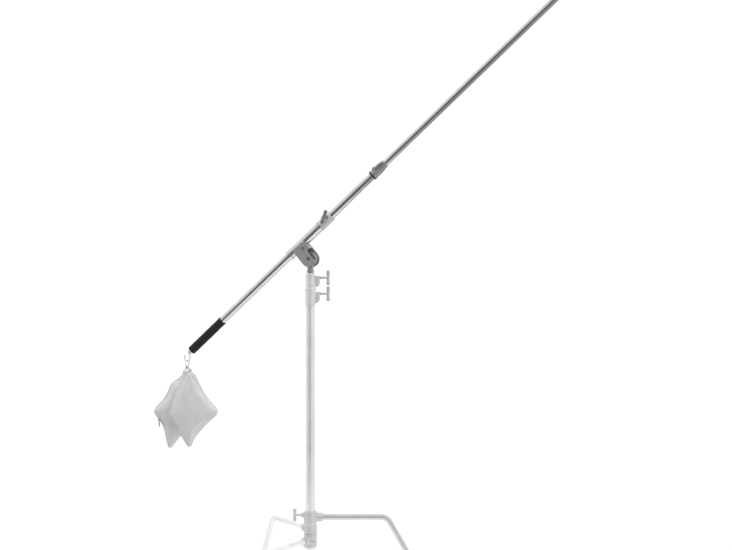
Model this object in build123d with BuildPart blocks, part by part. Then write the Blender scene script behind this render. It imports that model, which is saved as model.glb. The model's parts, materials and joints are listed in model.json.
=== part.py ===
"""C-stand with a telescopic boom arm, a tilting boom head and a saddle sandbag as counterweight.

Millimetres, +Z up. The origin is on the floor, on the axis of the column. The top leg points along +X
and the boom rises towards +X, turned a little towards -Y.
"""
import os
from math import cos, radians, sin, tan

from build123d import *

# ---------------------------------------------------------------- driving dimensions
running_gap = 0.05  # radial clearance of a sliding or turning fit
fixed_gap = 0.02  # radial clearance between pieces that are pressed or glued together
loose_gap = 0.3  # clearance between pieces that only pass each other

# stand tubes
column_diameter = 35.0
column_bore = 31.0
column_bottom = 170.0
column_top = 1200.0
lower_riser_diameter = 30.0
lower_riser_bore = 26.5
lower_riser_bottom = 250.0
lower_riser_top = 1266.0
upper_riser_diameter = 25.0
upper_riser_bore = 22.0
upper_riser_bottom = 320.0
upper_riser_top = 1290.0
riser_bush_length = 30.0

# legs: a level run from the hub, a bend, then a slanted run down to the floor
leg_diameter = 22.0
leg_bore = 18.0
leg_slope = 60.0
leg_bend_radius = 40.0
leg_start = 28.0
leg_end_gap = 12.0
hub_diameter = 52.0
boss_diameter = 34.0
boss_reach = 50.0
pin_diameter = 5.0
pin_radius_from_axis = 40.0
foot_diameter = 25.0
foot_length = 36.0
bottom_leg = {"height": 227.0, "azimuth": 240.0, "run": 350.0, "low": 199.0, "high": 252.4}
middle_leg = {"height": 272.0, "azimuth": 120.0, "run": 330.0, "low": 253.6, "high": 290.2}
top_leg = {"height": 320.0, "azimuth": 0.0, "run": 306.0, "low": 296.0, "high": 344.0}

# clamping collars on the column and the lower riser
column_collar = {"outer": 41.0, "flange": 44.6, "low": 1168.0, "high": 1238.0, "seat": 1200.0, "lock": 1213.0}
riser_collar = {"outer": 37.5, "flange": 38.5, "low": 1240.0, "high": 1295.0, "seat": 1266.0, "lock": 1277.0}
collar_bush_length = 14.0
lug_reach = 38.0
lug_width = 16.0
lug_drop = 37.0
lug_rise = 9.0
lock_screw_diameter = 8.0
screw_hole_gap = 0.08
shoe_length = 5.0
base_lock_height = 328.0
base_lock_boss = 33.0
hub_screw_boss = 28.0

# tilting head
spigot_diameter = 16.0
spigot_top = 1334.0
head_pivot_height = 1352.0
pivot_diameter = 12.0
tongue_half_width = 10.0
cheek_inner = 12.2
cheek_outer = 21.2
cheek_half_width = 32.0
bolt_head_depth = 5.0
channel_rise = 32.0
near_cheek_edge = 15.0
near_cheek_top = 30.0
friction_washer_radius = 26.4

# boom: distances along its axis are from the point where the axis crosses the column's axis
boom_azimuth = -22.0
boom_elevation = 41.1
boom_crossing_height = 1445.0
boom_diameter = 30.0
boom_bore = 26.0
boom_low = -710.0
boom_high = 364.0
sleeve_diameter = 37.0
sleeve_bore = 33.0
sleeve_low = -122.0
sleeve_high = 60.0
boom_clamp_high = 122.0
boom_lock_along = 110.0
extension_diameter = 25.0
extension_bore = 22.0
extension_low = 90.0
extension_high = 1400.0
extension_collar_low = 362.0
extension_collar_high = 429.0
lever_pivot_along = 380.0
lever_pivot_radius = 19.0
lever_hub_radius = 3.8
lever_pin_diameter = 4.0
lever_turn = 25.0
grip_diameter = 36.0
grip_low = -714.0
grip_high = -522.0
tip_stud_length = 42.0

# hook, ring and sandbag
hook_pivot_along = -725.0
hook_pin_diameter = 5.0
hook_wire = 6.0
hook_bend_radius = 12.5
hook_flat = 3.0
hook_bottom_height = 931.0
hook_tip_rise = 14.0
ring_wire = 4.5
ring_radius = 14.0
pouch_thickness = 78.0
pouch_face_scale = 0.55
sand_scale = 0.8
sand_face_scale = 0.48
sand_thickness = 58.0
pouch_gap = 4.0

# ---------------------------------------------------------------- directions and planes
up = Vector(0, 0, 1)
heading = Vector(cos(radians(boom_azimuth)), sin(radians(boom_azimuth)), 0)
boom_along = heading * cos(radians(boom_elevation)) + up * sin(radians(boom_elevation))
boom_up = up * cos(radians(boom_elevation)) - heading * sin(radians(boom_elevation))
boom_side = boom_along.cross(boom_up)
boom_origin = Vector(0, 0, boom_crossing_height)
pivot_drop = (boom_crossing_height - head_pivot_height) * cos(radians(boom_elevation))
pivot_along = -(boom_crossing_height - head_pivot_height) * sin(radians(boom_elevation))
saddle_screw_along = pivot_along + 10.0
saddle_screw_rise = -20.5
lever_out = boom_side * cos(radians(lever_turn)) + boom_up * sin(radians(lever_turn))
lever_across = boom_along.cross(lever_out)


def boom_point(along, rise=0.0, side=0.0):
    """A point in space from its place along, above and beside the boom's axis."""
    return boom_origin + boom_along * along + boom_up * rise + boom_side * side


def boom_plane(along):
    """The plane square to the boom at a distance along it; its x axis points to the boom's side."""
    return Plane(origin=boom_point(along), x_dir=boom_side, z_dir=boom_along)


def side_plane(along=0.0, rise=0.0, side=0.0):
    """A plane parallel to the boom's upright plane, x along the boom and y above it."""
    return Plane(origin=boom_point(along, rise, side), x_dir=boom_along, z_dir=boom_side)


def leg_direction(azimuth):
    return Vector(cos(radians(azimuth)), sin(radians(azimuth)), 0)


def radial_plane(azimuth, height, distance=0.0):
    """A plane square to a level line that leaves the column's axis at an azimuth; its x axis is up."""
    outwards = leg_direction(azimuth)
    return Plane(origin=outwards * distance + up * height, x_dir=up, z_dir=outwards)


def save(piece, name):
    piece.part.label = name
    export_step(piece.part, f"parts/{name}.step")


def make_tube(plane, outer, bore, length):
    """A plain round tube, bush or washer that starts on a plane."""
    with BuildPart() as piece:
        with BuildSketch(plane):
            Circle(outer / 2)
            Circle(bore / 2, mode=Mode.SUBTRACT)
        extrude(amount=length)
    return piece


def make_pin(plane, diameter, length):
    """A round pin with a small chamfer at both ends."""
    with BuildPart() as piece:
        with BuildSketch(plane):
            Circle(diameter / 2)
        extrude(amount=length)
        chamfer(piece.edges().filter_by(GeomType.CIRCLE), diameter * 0.08)
    return piece


def make_socket_screw(plane, shank, head, shank_length, head_height):
    """A cap screw whose head sits on the plane; the shank runs back from it, the socket faces out."""
    with BuildPart() as piece:
        with BuildSketch(plane):
            Circle(head / 2)
        extrude(amount=head_height)
        chamfer(piece.edges().filter_by(GeomType.CIRCLE).sort_by(SortBy.LENGTH)[-1:], 0.5)
        with BuildSketch(plane):
            Circle(shank / 2)
        extrude(amount=-shank_length)
        with BuildSketch(plane.offset(head_height)):
            RegularPolygon(head * 0.29, 6)
        extrude(amount=-head_height * 0.6, mode=Mode.SUBTRACT)
    return piece


# ---------------------------------------------------------------- legs and hub
def make_leg_socket(leg, bore):
    """A hub ring round the column with a boss that holds one leg."""
    outwards = leg_direction(leg["azimuth"])
    with BuildPart() as piece:
        with BuildSketch(Plane.XY.offset(leg["low"])):
            Circle(hub_diameter / 2)
        extrude(amount=leg["high"] - leg["low"])
        chamfer(piece.edges().filter_by(GeomType.CIRCLE), 2)
        with BuildSketch(radial_plane(leg["azimuth"], leg["height"])):
            Circle(boss_diameter / 2)
        extrude(amount=boss_reach)
        boss_end = piece.edges().filter_by(GeomType.CIRCLE).sort_by(Axis((0, 0, 0), outwards))[-1:]
        chamfer(boss_end, 2)
        if "screw" in leg:
            screw = leg["screw"]
            with BuildSketch(radial_plane(screw["azimuth"], screw["height"])):
                Circle(screw["boss"] / 2)
            extrude(amount=screw["reach"])
            with BuildSketch(radial_plane(screw["azimuth"], screw["height"])):
                Circle(lock_screw_diameter / 2 + screw_hole_gap)
            extrude(amount=screw["reach"], mode=Mode.SUBTRACT)
        with BuildSketch(Plane.XY.offset(leg["low"])):
            Circle(bore / 2)
        extrude(amount=leg["high"] - leg["low"], mode=Mode.SUBTRACT)
        with BuildSketch(radial_plane(leg["azimuth"], leg["height"], leg_start - 0.5)):
            Circle(leg_diameter / 2 + fixed_gap)
        extrude(amount=boss_reach, mode=Mode.SUBTRACT)
        with BuildSketch(pin_plane(leg)):
            Circle(pin_diameter / 2 + fixed_gap)
        extrude(amount=boss_diameter + 2, mode=Mode.SUBTRACT)
    return piece


def pin_plane(leg):
    """The plane below a boss from which its cross pin runs up."""
    place = leg_direction(leg["azimuth"]) * pin_radius_from_axis
    return Plane(origin=(place.X, place.Y, leg["height"] - boss_diameter / 2 - 1))


def floor_reach(leg):
    return leg["run"] + leg["height"] / tan(radians(leg_slope))


def slanted_direction(leg):
    slope = radians(leg_slope)
    return leg_direction(leg["azimuth"]) * cos(slope) - up * sin(slope)


def make_leg(leg):
    """A bent steel tube: a level run, an arc and a slanted run."""
    outwards = leg_direction(leg["azimuth"])
    upright = Plane(origin=(0, 0, 0), x_dir=outwards, z_dir=outwards.cross(up))
    slope = radians(leg_slope)
    end = (floor_reach(leg) - leg_end_gap * cos(slope), leg_end_gap * sin(slope))
    with BuildPart() as piece:
        with BuildLine(upright):
            corner = (leg["run"], leg["height"])
            FilletPolyline((leg_start, leg["height"]), corner, end, radius=leg_bend_radius)
        with BuildSketch(radial_plane(leg["azimuth"], leg["height"], leg_start)):
            Circle(leg_diameter / 2)
            Circle(leg_bore / 2, mode=Mode.SUBTRACT)
        sweep()
        with BuildSketch(pin_plane(leg)):
            Circle(pin_diameter / 2 + fixed_gap)
        extrude(amount=boss_diameter + 2, mode=Mode.SUBTRACT)
    return piece


def make_foot(leg):
    """A rubber boot on the end of a leg, cut level where it stands on the floor."""
    direction = slanted_direction(leg)
    floor_point = leg_direction(leg["azimuth"]) * floor_reach(leg)
    start = floor_point - direction * foot_length
    boot_plane = Plane(origin=start, z_dir=direction)
    with BuildPart() as piece:
        with BuildSketch(boot_plane):
            Circle(foot_diameter / 2)
        extrude(amount=foot_length + foot_diameter)
        fillet(piece.edges().filter_by(GeomType.CIRCLE).sort_by(Axis.Z)[-1:], 1.2)
        split(bisect_by=Plane.XY, keep=Keep.TOP)
        with BuildSketch(boot_plane):
            Circle(leg_diameter / 2 + fixed_gap)
        extrude(amount=foot_length - leg_end_gap + 0.2, mode=Mode.SUBTRACT)
    return piece


bottom_leg["screw"] = {"azimuth": 300.0, "height": 227.0, "boss": 18.0, "reach": hub_screw_boss}
top_leg["screw"] = {"azimuth": 180.0, "height": base_lock_height, "boss": 20.0, "reach": base_lock_boss}


def make_leg_set(name, leg, bore):
    save(make_leg_socket(leg, bore), f"{name}_leg_socket")
    save(make_leg(leg), f"{name}_leg")
    save(make_foot(leg), f"{name}_leg_foot")
    pin = make_pin(pin_plane(leg).offset(1.5), pin_diameter, boss_diameter - 1)
    save(pin, f"{name}_leg_pin")


# ---------------------------------------------------------------- lock handles
def make_lock_handle(plane, tip, shoulder, bar_distance, bar_length):
    """A screw with a cast T-bar: the bar is thick at its two ends and waisted in the middle."""
    half = bar_length / 2
    with BuildPart() as piece:
        with BuildSketch(plane.offset(tip)):
            Circle(lock_screw_diameter / 2)
        extrude(amount=shoulder - tip)
        with BuildSketch(plane.offset(shoulder)):
            Circle(6.5)
        extrude(amount=4)
        with BuildSketch(plane.offset(shoulder + 4)):
            Circle(4.8)
        extrude(amount=bar_distance - shoulder - 4)
        bar_centre = plane.offset(bar_distance)
        with BuildSketch(bar_centre):
            with BuildLine():
                Line((-half, 0), (-half, 3))
                ThreePointArc((-half, 3), (-half + 1.2, 5.8), (-half + 4, 7))
                Line((-half + 4, 7), (-half + 12, 7))
                ThreePointArc((-half + 12, 7), (0, 5.6), (half - 12, 7))
                Line((half - 12, 7), (half - 4, 7))
                ThreePointArc((half - 4, 7), (half - 1.2, 5.8), (half, 3))
                Line((half, 3), (half, 0))
                Line((half, 0), (-half, 0))
            make_face()
        revolve(axis=Axis(bar_centre.origin, bar_centre.x_dir))
    return piece


def make_shoe(plane, inner, outer, tube_diameter):
    """A brass pad between a lock screw and the tube that it grips, hollowed to the tube's curve."""
    with BuildPart() as piece:
        with BuildSketch(plane.offset(inner)):
            Circle(lock_screw_diameter / 2)
        extrude(amount=outer - inner)
        with BuildSketch(Plane.XY.offset(plane.origin.Z - 10)):
            Circle(tube_diameter / 2 + running_gap)
        extrude(amount=20, mode=Mode.SUBTRACT)
    return piece


# ---------------------------------------------------------------- stand collars
def make_collar(collar, tube, clear_bore):
    """A cast collar: it is fixed on the tube below, guides the tube above, and has a lug for a screw."""
    lock = collar["lock"]
    with BuildPart() as piece:
        with BuildSketch(Plane.XY.offset(collar["low"])):
            Circle(collar["outer"] / 2)
        extrude(amount=collar["high"] - collar["low"])
        with BuildSketch(Plane.XY.offset(collar["high"] - 12)):
            Circle(collar["flange"] / 2)
        extrude(amount=10)
        with BuildSketch(Plane.XZ.offset(-lug_width / 2)):
            with BuildLine():
                Polyline(
                    (10, lock + lug_rise - 3),
                    (lug_reach - 3, lock + lug_rise),
                    (lug_reach, lock + lug_rise - 3),
                    (lug_reach, lock - lug_drop + 12),
                    (lug_reach - 10, lock - lug_drop),
                    (10, lock - lug_drop),
                    close=True,
                )
            make_face()
        extrude(amount=lug_width)
        chamfer(piece.edges().filter_by(Axis.Z).sort_by(Axis.X)[-2:], 2.5)
        with BuildSketch(Plane.XY.offset(collar["low"])):
            Circle(tube / 2 + fixed_gap)
        extrude(amount=collar["seat"] + fixed_gap - collar["low"], mode=Mode.SUBTRACT)
        with BuildSketch(Plane.XY.offset(collar["seat"])):
            Circle(clear_bore / 2)
        extrude(amount=collar["high"] - collar["seat"], mode=Mode.SUBTRACT)
        with BuildSketch(Plane.XY.offset(collar["high"] - collar_bush_length)):
            Circle(clear_bore / 2 + 1.2)
        extrude(amount=collar_bush_length, mode=Mode.SUBTRACT)
        with BuildSketch(Plane.YZ.offset(5)):
            with Locations((0, lock)):
                Circle(lock_screw_diameter / 2 + screw_hole_gap)
        extrude(amount=lug_reach, mode=Mode.SUBTRACT)
    return piece


def make_collar_bush(collar, clear_bore, moving_tube):
    plane = Plane.XY.offset(collar["high"] - collar_bush_length + fixed_gap)
    length = collar_bush_length - fixed_gap
    return make_tube(plane, clear_bore + 2.4 - 2 * fixed_gap, moving_tube + 2 * running_gap, length)


# ---------------------------------------------------------------- boom head
def make_head_stem():
    """The receiver that sits on the riser's spigot, with a flat tongue that holds the tilt pivot."""
    with BuildPart() as piece:
        with BuildSketch(Plane.XY.offset(upper_riser_top + 7)):
            Circle(14)
        extrude(amount=12)
        chamfer(piece.edges().filter_by(GeomType.CIRCLE), 1.2)
        with BuildSketch(Plane.XY.offset(upper_riser_top + 18)):
            Circle(11.6)
        extrude(amount=head_pivot_height - upper_riser_top - 18.6 - friction_washer_radius)
        tongue = Plane(
            origin=up * head_pivot_height - boom_side * tongue_half_width,
            x_dir=heading,
            z_dir=boom_side,
        )
        with BuildSketch(tongue):
            Circle(27)
            with Locations((0, -17)):
                Rectangle(23.2, 34)
        extrude(amount=2 * tongue_half_width)
        with BuildSketch(tongue):
            Circle(pivot_diameter / 2 + 0.1)
        extrude(amount=2 * tongue_half_width, mode=Mode.SUBTRACT)
        with BuildSketch(Plane.XY.offset(upper_riser_top)):
            Circle(spigot_diameter / 2 + running_gap)
        extrude(amount=spigot_top + 1 - upper_riser_top, mode=Mode.SUBTRACT)
        with BuildSketch(Plane.XZ.offset(0)):
            with Locations((0, upper_riser_top + 13)):
                Circle(3.1)
        extrude(amount=-20, mode=Mode.SUBTRACT)
    return piece


def make_head_bracket():
    """The sleeve that carries the boom and the two cheeks that hang from it on the tilt pivot."""
    pivot_line = side_plane(pivot_along, -pivot_drop, -cheek_outer)
    with BuildPart() as piece:
        with BuildSketch(pivot_line):
            Circle(cheek_half_width)
            with Locations((0, pivot_drop / 2)):
                Rectangle(2 * cheek_half_width, pivot_drop)
        extrude(amount=2 * cheek_outer)
        crown = piece.edges().filter_by(Axis(boom_origin, boom_side)).sort_by(Axis(boom_origin, boom_up))[-2:]
        chamfer(crown, 6)
        with BuildSketch(boom_plane(sleeve_low)):
            Circle(sleeve_diameter / 2)
        extrude(amount=sleeve_high - sleeve_low)
        for end in (sleeve_low, sleeve_high - 10):
            with BuildSketch(boom_plane(end)):
                Circle(sleeve_diameter / 2 + 1.5)
            extrude(amount=10)
        with BuildSketch(side_plane(pivot_along, -pivot_drop, -cheek_inner)):
            with Locations((0, channel_rise - 40)):
                Rectangle(90, 80)
        extrude(amount=2 * cheek_inner, mode=Mode.SUBTRACT)
        with BuildSketch(side_plane(pivot_along, -pivot_drop, cheek_inner)):
            with Locations((near_cheek_edge + 30, near_cheek_top - 50)):
                RectangleRounded(60, 100, 8)
        extrude(amount=cheek_outer - cheek_inner + 1, mode=Mode.SUBTRACT)
        with BuildSketch(boom_plane(sleeve_low)):
            Circle(sleeve_bore / 2)
        extrude(amount=sleeve_high - sleeve_low, mode=Mode.SUBTRACT)
        with BuildSketch(pivot_line):
            Circle(pivot_diameter / 2 + fixed_gap)
        extrude(amount=2 * cheek_outer, mode=Mode.SUBTRACT)
        with BuildSketch(side_plane(pivot_along, -pivot_drop, cheek_outer - bolt_head_depth)):
            Circle(9 + fixed_gap)
        extrude(amount=bolt_head_depth + 1, mode=Mode.SUBTRACT)
        with BuildSketch(side_plane(saddle_screw_along, saddle_screw_rise, cheek_outer)):
            Circle(3 + fixed_gap)
        extrude(amount=-14, mode=Mode.SUBTRACT)
    return piece


def make_pivot_bolt():
    """The tilt bolt: a flush socket head in the near cheek and a shank that ends in the lever's hub."""
    head = side_plane(pivot_along, -pivot_drop, cheek_outer - bolt_head_depth + fixed_gap)
    with BuildPart() as piece:
        with BuildSketch(head):
            Circle(9)
        extrude(amount=bolt_head_depth)
        with BuildSketch(head):
            Circle(pivot_diameter / 2)
        extrude(amount=-(2 * cheek_outer + 10))
        with BuildSketch(side_plane(pivot_along, -pivot_drop, cheek_outer)):
            RegularPolygon(5, 6)
        extrude(amount=-4, mode=Mode.SUBTRACT)
    return piece


def make_tilt_lever():
    """A hub on the end of the tilt bolt with a lever that lies behind the head."""
    hub = side_plane(pivot_along, -pivot_drop, -cheek_outer - 0.5)
    lever = hub.offset(-14)
    with BuildPart() as piece:
        with BuildSketch(hub):
            Circle(12)
        extrude(amount=-20)
        chamfer(piece.edges().filter_by(GeomType.CIRCLE), 1.5)
        with BuildSketch(lever):
            with BuildLine():
                Polyline((-7, 0), (7, 0), (6, 50), (3, 54), (-3, 54), (-6, 50), close=True)
            make_face()
        extrude(amount=7)
        with BuildSketch(hub):
            Circle(pivot_diameter / 2 + 0.1)
        extrude(amount=-17, mode=Mode.SUBTRACT)
    return piece


def make_boom_clamp():
    """The collar at the sleeve's upper end, with a boss for the lock screw that grips the boom."""
    start = sleeve_high + 0.2
    lock_plane = Plane(origin=boom_point(boom_lock_along), x_dir=boom_along, z_dir=boom_side)
    with BuildPart() as piece:
        with BuildSketch(boom_plane(start)):
            Circle(21)
        extrude(amount=boom_clamp_high - start)
        chamfer(piece.edges().filter_by(GeomType.CIRCLE), 2)
        with BuildSketch(lock_plane):
            Circle(11)
        extrude(amount=30)
        with BuildSketch(side_plane(0, 0, -8)):
            with BuildLine():
                Polyline(
                    (start + 14, 15),
                    (boom_clamp_high - 4, 15),
                    (boom_clamp_high - 8, 25),
                    (start + 26, 25),
                    close=True,
                )
            make_face()
        extrude(amount=16)
        with BuildSketch(boom_plane(start)):
            Circle(boom_diameter / 2 + loose_gap)
        extrude(amount=boom_clamp_high - start, mode=Mode.SUBTRACT)
        with BuildSketch(lock_plane):
            Circle(lock_screw_diameter / 2 + screw_hole_gap)
        extrude(amount=31, mode=Mode.SUBTRACT)
    return piece


# ---------------------------------------------------------------- boom
def make_boom_end_plug():
    """The plug in the boom's lower end, with two small ears for the hook's pin."""
    with BuildPart() as piece:
        with BuildSketch(boom_plane(grip_low)):
            Circle(boom_bore / 2 - fixed_gap)
        extrude(amount=26)
        with BuildSketch(boom_plane(grip_low)):
            Circle(boom_diameter / 2)
        extrude(amount=boom_low - fixed_gap - grip_low)
        with BuildSketch(side_plane(hook_pivot_along, 0, -9)):
            Circle(6)
            with Locations((7, 0)):
                Rectangle(14, 12)
        extrude(amount=18)
        with BuildSketch(side_plane(hook_pivot_along, 0, -4)):
            with Locations((-2, 0)):
                Rectangle(24, 40)
        extrude(amount=8, mode=Mode.SUBTRACT)
        with BuildSketch(side_plane(hook_pivot_along, 0, -10)):
            Circle(hook_pin_diameter / 2 + fixed_gap)
        extrude(amount=20, mode=Mode.SUBTRACT)
    return piece


def lever_plane(offset):
    """A plane through the boom, parallel to the lever: x along the boom and y outwards at the lever."""
    return Plane(origin=boom_origin + lever_across * offset, x_dir=boom_along, z_dir=lever_across)


def make_extension_collar():
    """The tapered clamp collar at the boom tube's upper end, with two ears for the lever's pin."""
    start = extension_collar_low
    length = extension_collar_high - start
    with BuildPart() as piece:
        with BuildSketch(side_plane(start)):
            with BuildLine():
                Polyline((0, 0), (0, 19), (30, 19), (58, 15.5), (length, 14.5), (length, 0), close=True)
            make_face()
        revolve(axis=Axis(boom_origin, boom_along))
        for side in (-1, 1):
            with BuildSketch(lever_plane(side * 9 - 3)):
                with Locations((lever_pivot_along, lever_pivot_radius)):
                    Circle(5)
                with Locations((lever_pivot_along, lever_pivot_radius - 4)):
                    Rectangle(10, 8)
            extrude(amount=6)
        with BuildSketch(lever_plane(-13)):
            with Locations((lever_pivot_along, lever_pivot_radius)):
                Circle(lever_pin_diameter / 2 + fixed_gap)
        extrude(amount=26, mode=Mode.SUBTRACT)
        with BuildSketch(lever_plane(-5.6)):
            with Locations((lever_pivot_along, 14.6 + 8)):
                Rectangle(15, 16)
        extrude(amount=11.2, mode=Mode.SUBTRACT)
        with BuildSketch(boom_plane(start)):
            Circle(boom_diameter / 2 + fixed_gap)
        extrude(amount=boom_high + fixed_gap - start, mode=Mode.SUBTRACT)
        with BuildSketch(boom_plane(start)):
            Circle(extension_diameter / 2 + loose_gap)
        extrude(amount=length, mode=Mode.SUBTRACT)
        with BuildSketch(boom_plane(extension_collar_high - 12)):
            Circle(extension_diameter / 2 + 1.2)
        extrude(amount=12, mode=Mode.SUBTRACT)
    return piece


def make_extension_lever():
    """The cam lever that closes the collar; it lies along the collar and turns outwards on its pin."""
    pivot = lever_pivot_along
    with BuildPart() as piece:
        with BuildSketch(lever_plane(-5)):
            with BuildLine():
                Polyline(
                    (pivot, lever_pivot_radius + lever_hub_radius),
                    (pivot + 12, 24.2),
                    (pivot + 32, 23.2),
                    (pivot + 44, 19.6),
                    (pivot + 46, 17.2),
                    (pivot + 44, 16.4),
                    (pivot + 28, 18.6),
                    (pivot + 14, 19.4),
                    (pivot + 3, 19.4),
                    close=True,
                )
            make_face()
            with Locations((pivot, lever_pivot_radius)):
                Circle(lever_hub_radius)
        extrude(amount=10)
        with BuildSketch(lever_plane(-6)):
            with Locations((pivot, lever_pivot_radius)):
                Circle(lever_pin_diameter / 2 + screw_hole_gap)
        extrude(amount=12, mode=Mode.SUBTRACT)
    return piece


def make_lever_pin():
    plane = lever_plane(-12.5)
    centre = plane.from_local_coords((lever_pivot_along, lever_pivot_radius, 0))
    pin_start = Plane(origin=centre, x_dir=plane.x_dir, z_dir=plane.z_dir)
    return make_pin(pin_start, lever_pin_diameter, 25)


# ---------------------------------------------------------------- parts of the sandbag
def scaled_outline(points, scale):
    middle = Vector(sum(x for x, z in points) / len(points), sum(z for x, z in points) / len(points))
    return [(middle.X + (x - middle.X) * scale, middle.Y + (z - middle.Y) * scale) for x, z in points]


def make_pad(outline, middle_y, thickness, edge_scale, face_scale):
    """A cushion shape: the full outline in the middle of its thickness and a smaller one on each face."""
    with BuildPart() as piece:
        for offset, scale in ((-thickness / 2, face_scale), (0, edge_scale), (thickness / 2, face_scale)):
            with BuildSketch(Plane.XZ.offset(-(middle_y + offset))):
                with BuildLine():
                    Polyline(*scaled_outline(outline, scale), close=True)
                make_face()
        loft(ruled=True)
    return piece


def make_pouch(outline, middle_y):
    """A filled pouch with a closed hollow for its sand."""
    hollow = make_pad(outline, middle_y, sand_thickness + 1, sand_scale + 0.01, sand_face_scale + 0.01)
    with BuildPart() as piece:
        add(make_pad(outline, middle_y, pouch_thickness, 1, pouch_face_scale).part)
        add(hollow.part, mode=Mode.SUBTRACT)
    return piece


hook_pivot = boom_point(hook_pivot_along)
hook_plane = Plane(origin=hook_pivot, x_dir=heading, z_dir=boom_side)
bend_drop = hook_bottom_height + hook_bend_radius - hook_pivot.Z
ring_top = hook_bottom_height + hook_wire / 2 + loose_gap
ring_height = ring_top - (ring_radius - ring_wire / 2)
ring_place = hook_pivot - heading * hook_bend_radius
ring_centre = Vector(ring_place.X, ring_place.Y, ring_height)


def make_hook():
    """A forged hook: a flat eye round the plug's pin, a straight shank and an open J with a short level run."""
    eye_bore = hook_pin_diameter / 2 + 0.1
    eye_radius = eye_bore + hook_wire - 0.4
    shank_start = Plane(origin=hook_pivot - up * (eye_bore + 2), x_dir=heading, z_dir=up * -1)
    width = 2 * hook_bend_radius
    bend = hook_bend_radius - hook_flat / 2
    bottom = bend_drop - hook_bend_radius
    diagonal = cos(radians(45))
    with BuildPart() as piece:
        with BuildLine(hook_plane) as wire:
            Line((0, -eye_bore - 2), (0, bottom + bend))
            ThreePointArc((0, bottom + bend), (bend * (diagonal - 1), bottom + bend * (1 - diagonal)), (-bend, bottom))
            Line((-bend, bottom), (bend - width, bottom))
            ThreePointArc(
                (bend - width, bottom),
                (bend * (1 - diagonal) - width, bottom + bend * (1 - diagonal)),
                (-width, bottom + bend),
            )
            Line((-width, bottom + bend), (-width, bend_drop + hook_tip_rise))
        with BuildSketch(shank_start):
            Circle(hook_wire / 2)
        sweep(path=wire.wires()[0])
        with BuildSketch(hook_plane.offset(-hook_wire / 2 + 0.2)):
            Circle(eye_radius)
        extrude(amount=hook_wire - 0.4)
        with BuildSketch(hook_plane.offset(-hook_wire)):
            Circle(eye_bore)
        extrude(amount=2 * hook_wire, mode=Mode.SUBTRACT)
    return piece


def make_ring():
    """The round steel ring that joins the sandbag to the hook; it stands square to the hook."""
    with BuildPart() as piece:
        with BuildSketch(Plane(origin=ring_centre, x_dir=up, z_dir=boom_side)):
            with Locations((ring_radius, 0)):
                Circle(ring_wire / 2)
        revolve(axis=Axis(ring_centre, heading))
    return piece


def make_strap():
    """The folded webbing: a thick loop round the ring and a low saddle across both pouches."""
    ring_bottom = ring_height - ring_radius
    loop = Plane(origin=(ring_centre.X, ring_centre.Y, ring_bottom), x_dir=heading, z_dir=boom_side)
    saddle = Plane(origin=(ring_centre.X - 12, ring_centre.Y, 0), x_dir=(0, 1, 0), z_dir=(1, 0, 0))
    with BuildPart() as piece:
        with BuildSketch(loop.offset(-6)):
            with Locations((0, -1.5)):
                Rectangle(20, 16)
        extrude(amount=12)
        with BuildSketch(saddle):
            with BuildLine():
                Polyline(
                    (-44, strap_end_height),
                    (-44, strap_end_height + 4),
                    (-8, ring_bottom - 3),
                    (8, ring_bottom - 3),
                    (44, strap_end_height + 4),
                    (44, strap_end_height),
                    (0, ring_bottom - 10),
                    close=True,
                )
            make_face()
        extrude(amount=24)
        with BuildSketch(loop.offset(-7)):
            with Locations((0, 0.7)):
                Circle(3.5)
        extrude(amount=14, mode=Mode.SUBTRACT)
    return piece


# outlines of the two pouches as they hang, from the ring's centre line and the top of the strap
strap_end_height = 892.5
front_outline = [(2, -24), (26, -20), (84, -118), (130, -189), (83, -240), (36, -292)]
front_outline += [(13, -333), (-23, -284), (-70, -200), (-44, -110)]
rear_outline = [(12, -24), (-14, -21), (-40, -58), (-68, -66), (-95, -127), (-142, -190)]
rear_outline += [(-106, -255), (-77, -345), (-23, -284), (20, -220)]
pouch_top = 912.0
pouch_offset = (pouch_thickness + pouch_gap) / 2


def placed(outline):
    return [(ring_centre.X + x, pouch_top + z) for x, z in outline]


# ---------------------------------------------------------------- smaller pieces of the head and boom
def make_spigot():
    """The 16 mm spigot on the upper riser, with a groove for the head's lock screw."""
    radius = spigot_diameter / 2
    with BuildPart() as piece:
        with BuildSketch(Plane.XZ):
            with BuildLine():
                Polyline(
                    (0, upper_riser_top - 28),
                    (upper_riser_bore / 2 - fixed_gap, upper_riser_top - 28),
                    (upper_riser_bore / 2 - fixed_gap, upper_riser_top + fixed_gap),
                    (upper_riser_diameter / 2, upper_riser_top + fixed_gap),
                    (upper_riser_diameter / 2, upper_riser_top + 6),
                    (radius, upper_riser_top + 6),
                    (radius, upper_riser_top + 9),
                    (radius - 1.5, upper_riser_top + 9.5),
                    (radius - 1.5, upper_riser_top + 16.5),
                    (radius, upper_riser_top + 17),
                    (radius, spigot_top - 1.5),
                    (radius - 1.5, spigot_top),
                    (0, spigot_top),
                    close=True,
                )
            make_face()
        revolve(axis=Axis.Z)
    return piece


def make_head_lock_screw():
    """A fluted thumb screw at the back of the receiver; its tip enters the spigot's groove."""
    plane = Plane(origin=(0, 0, upper_riser_top + 13), x_dir=(1, 0, 0), z_dir=(0, 1, 0))
    with BuildPart() as piece:
        with BuildSketch(plane.offset(7)):
            Circle(3)
        extrude(amount=10)
        with BuildSketch(plane.offset(15)):
            Circle(7.5)
            with PolarLocations(8, 12):
                Circle(1.1, mode=Mode.SUBTRACT)
        extrude(amount=12)
    return piece


def make_sleeve_bushes():
    """Two nylon bushes inside the ends of the head's sleeve."""
    with BuildPart() as piece:
        for start in (sleeve_low, sleeve_high - 22):
            with BuildSketch(boom_plane(start)):
                Circle(sleeve_bore / 2 - fixed_gap)
                Circle(boom_diameter / 2 + running_gap, mode=Mode.SUBTRACT)
            extrude(amount=22)
    return piece


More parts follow.
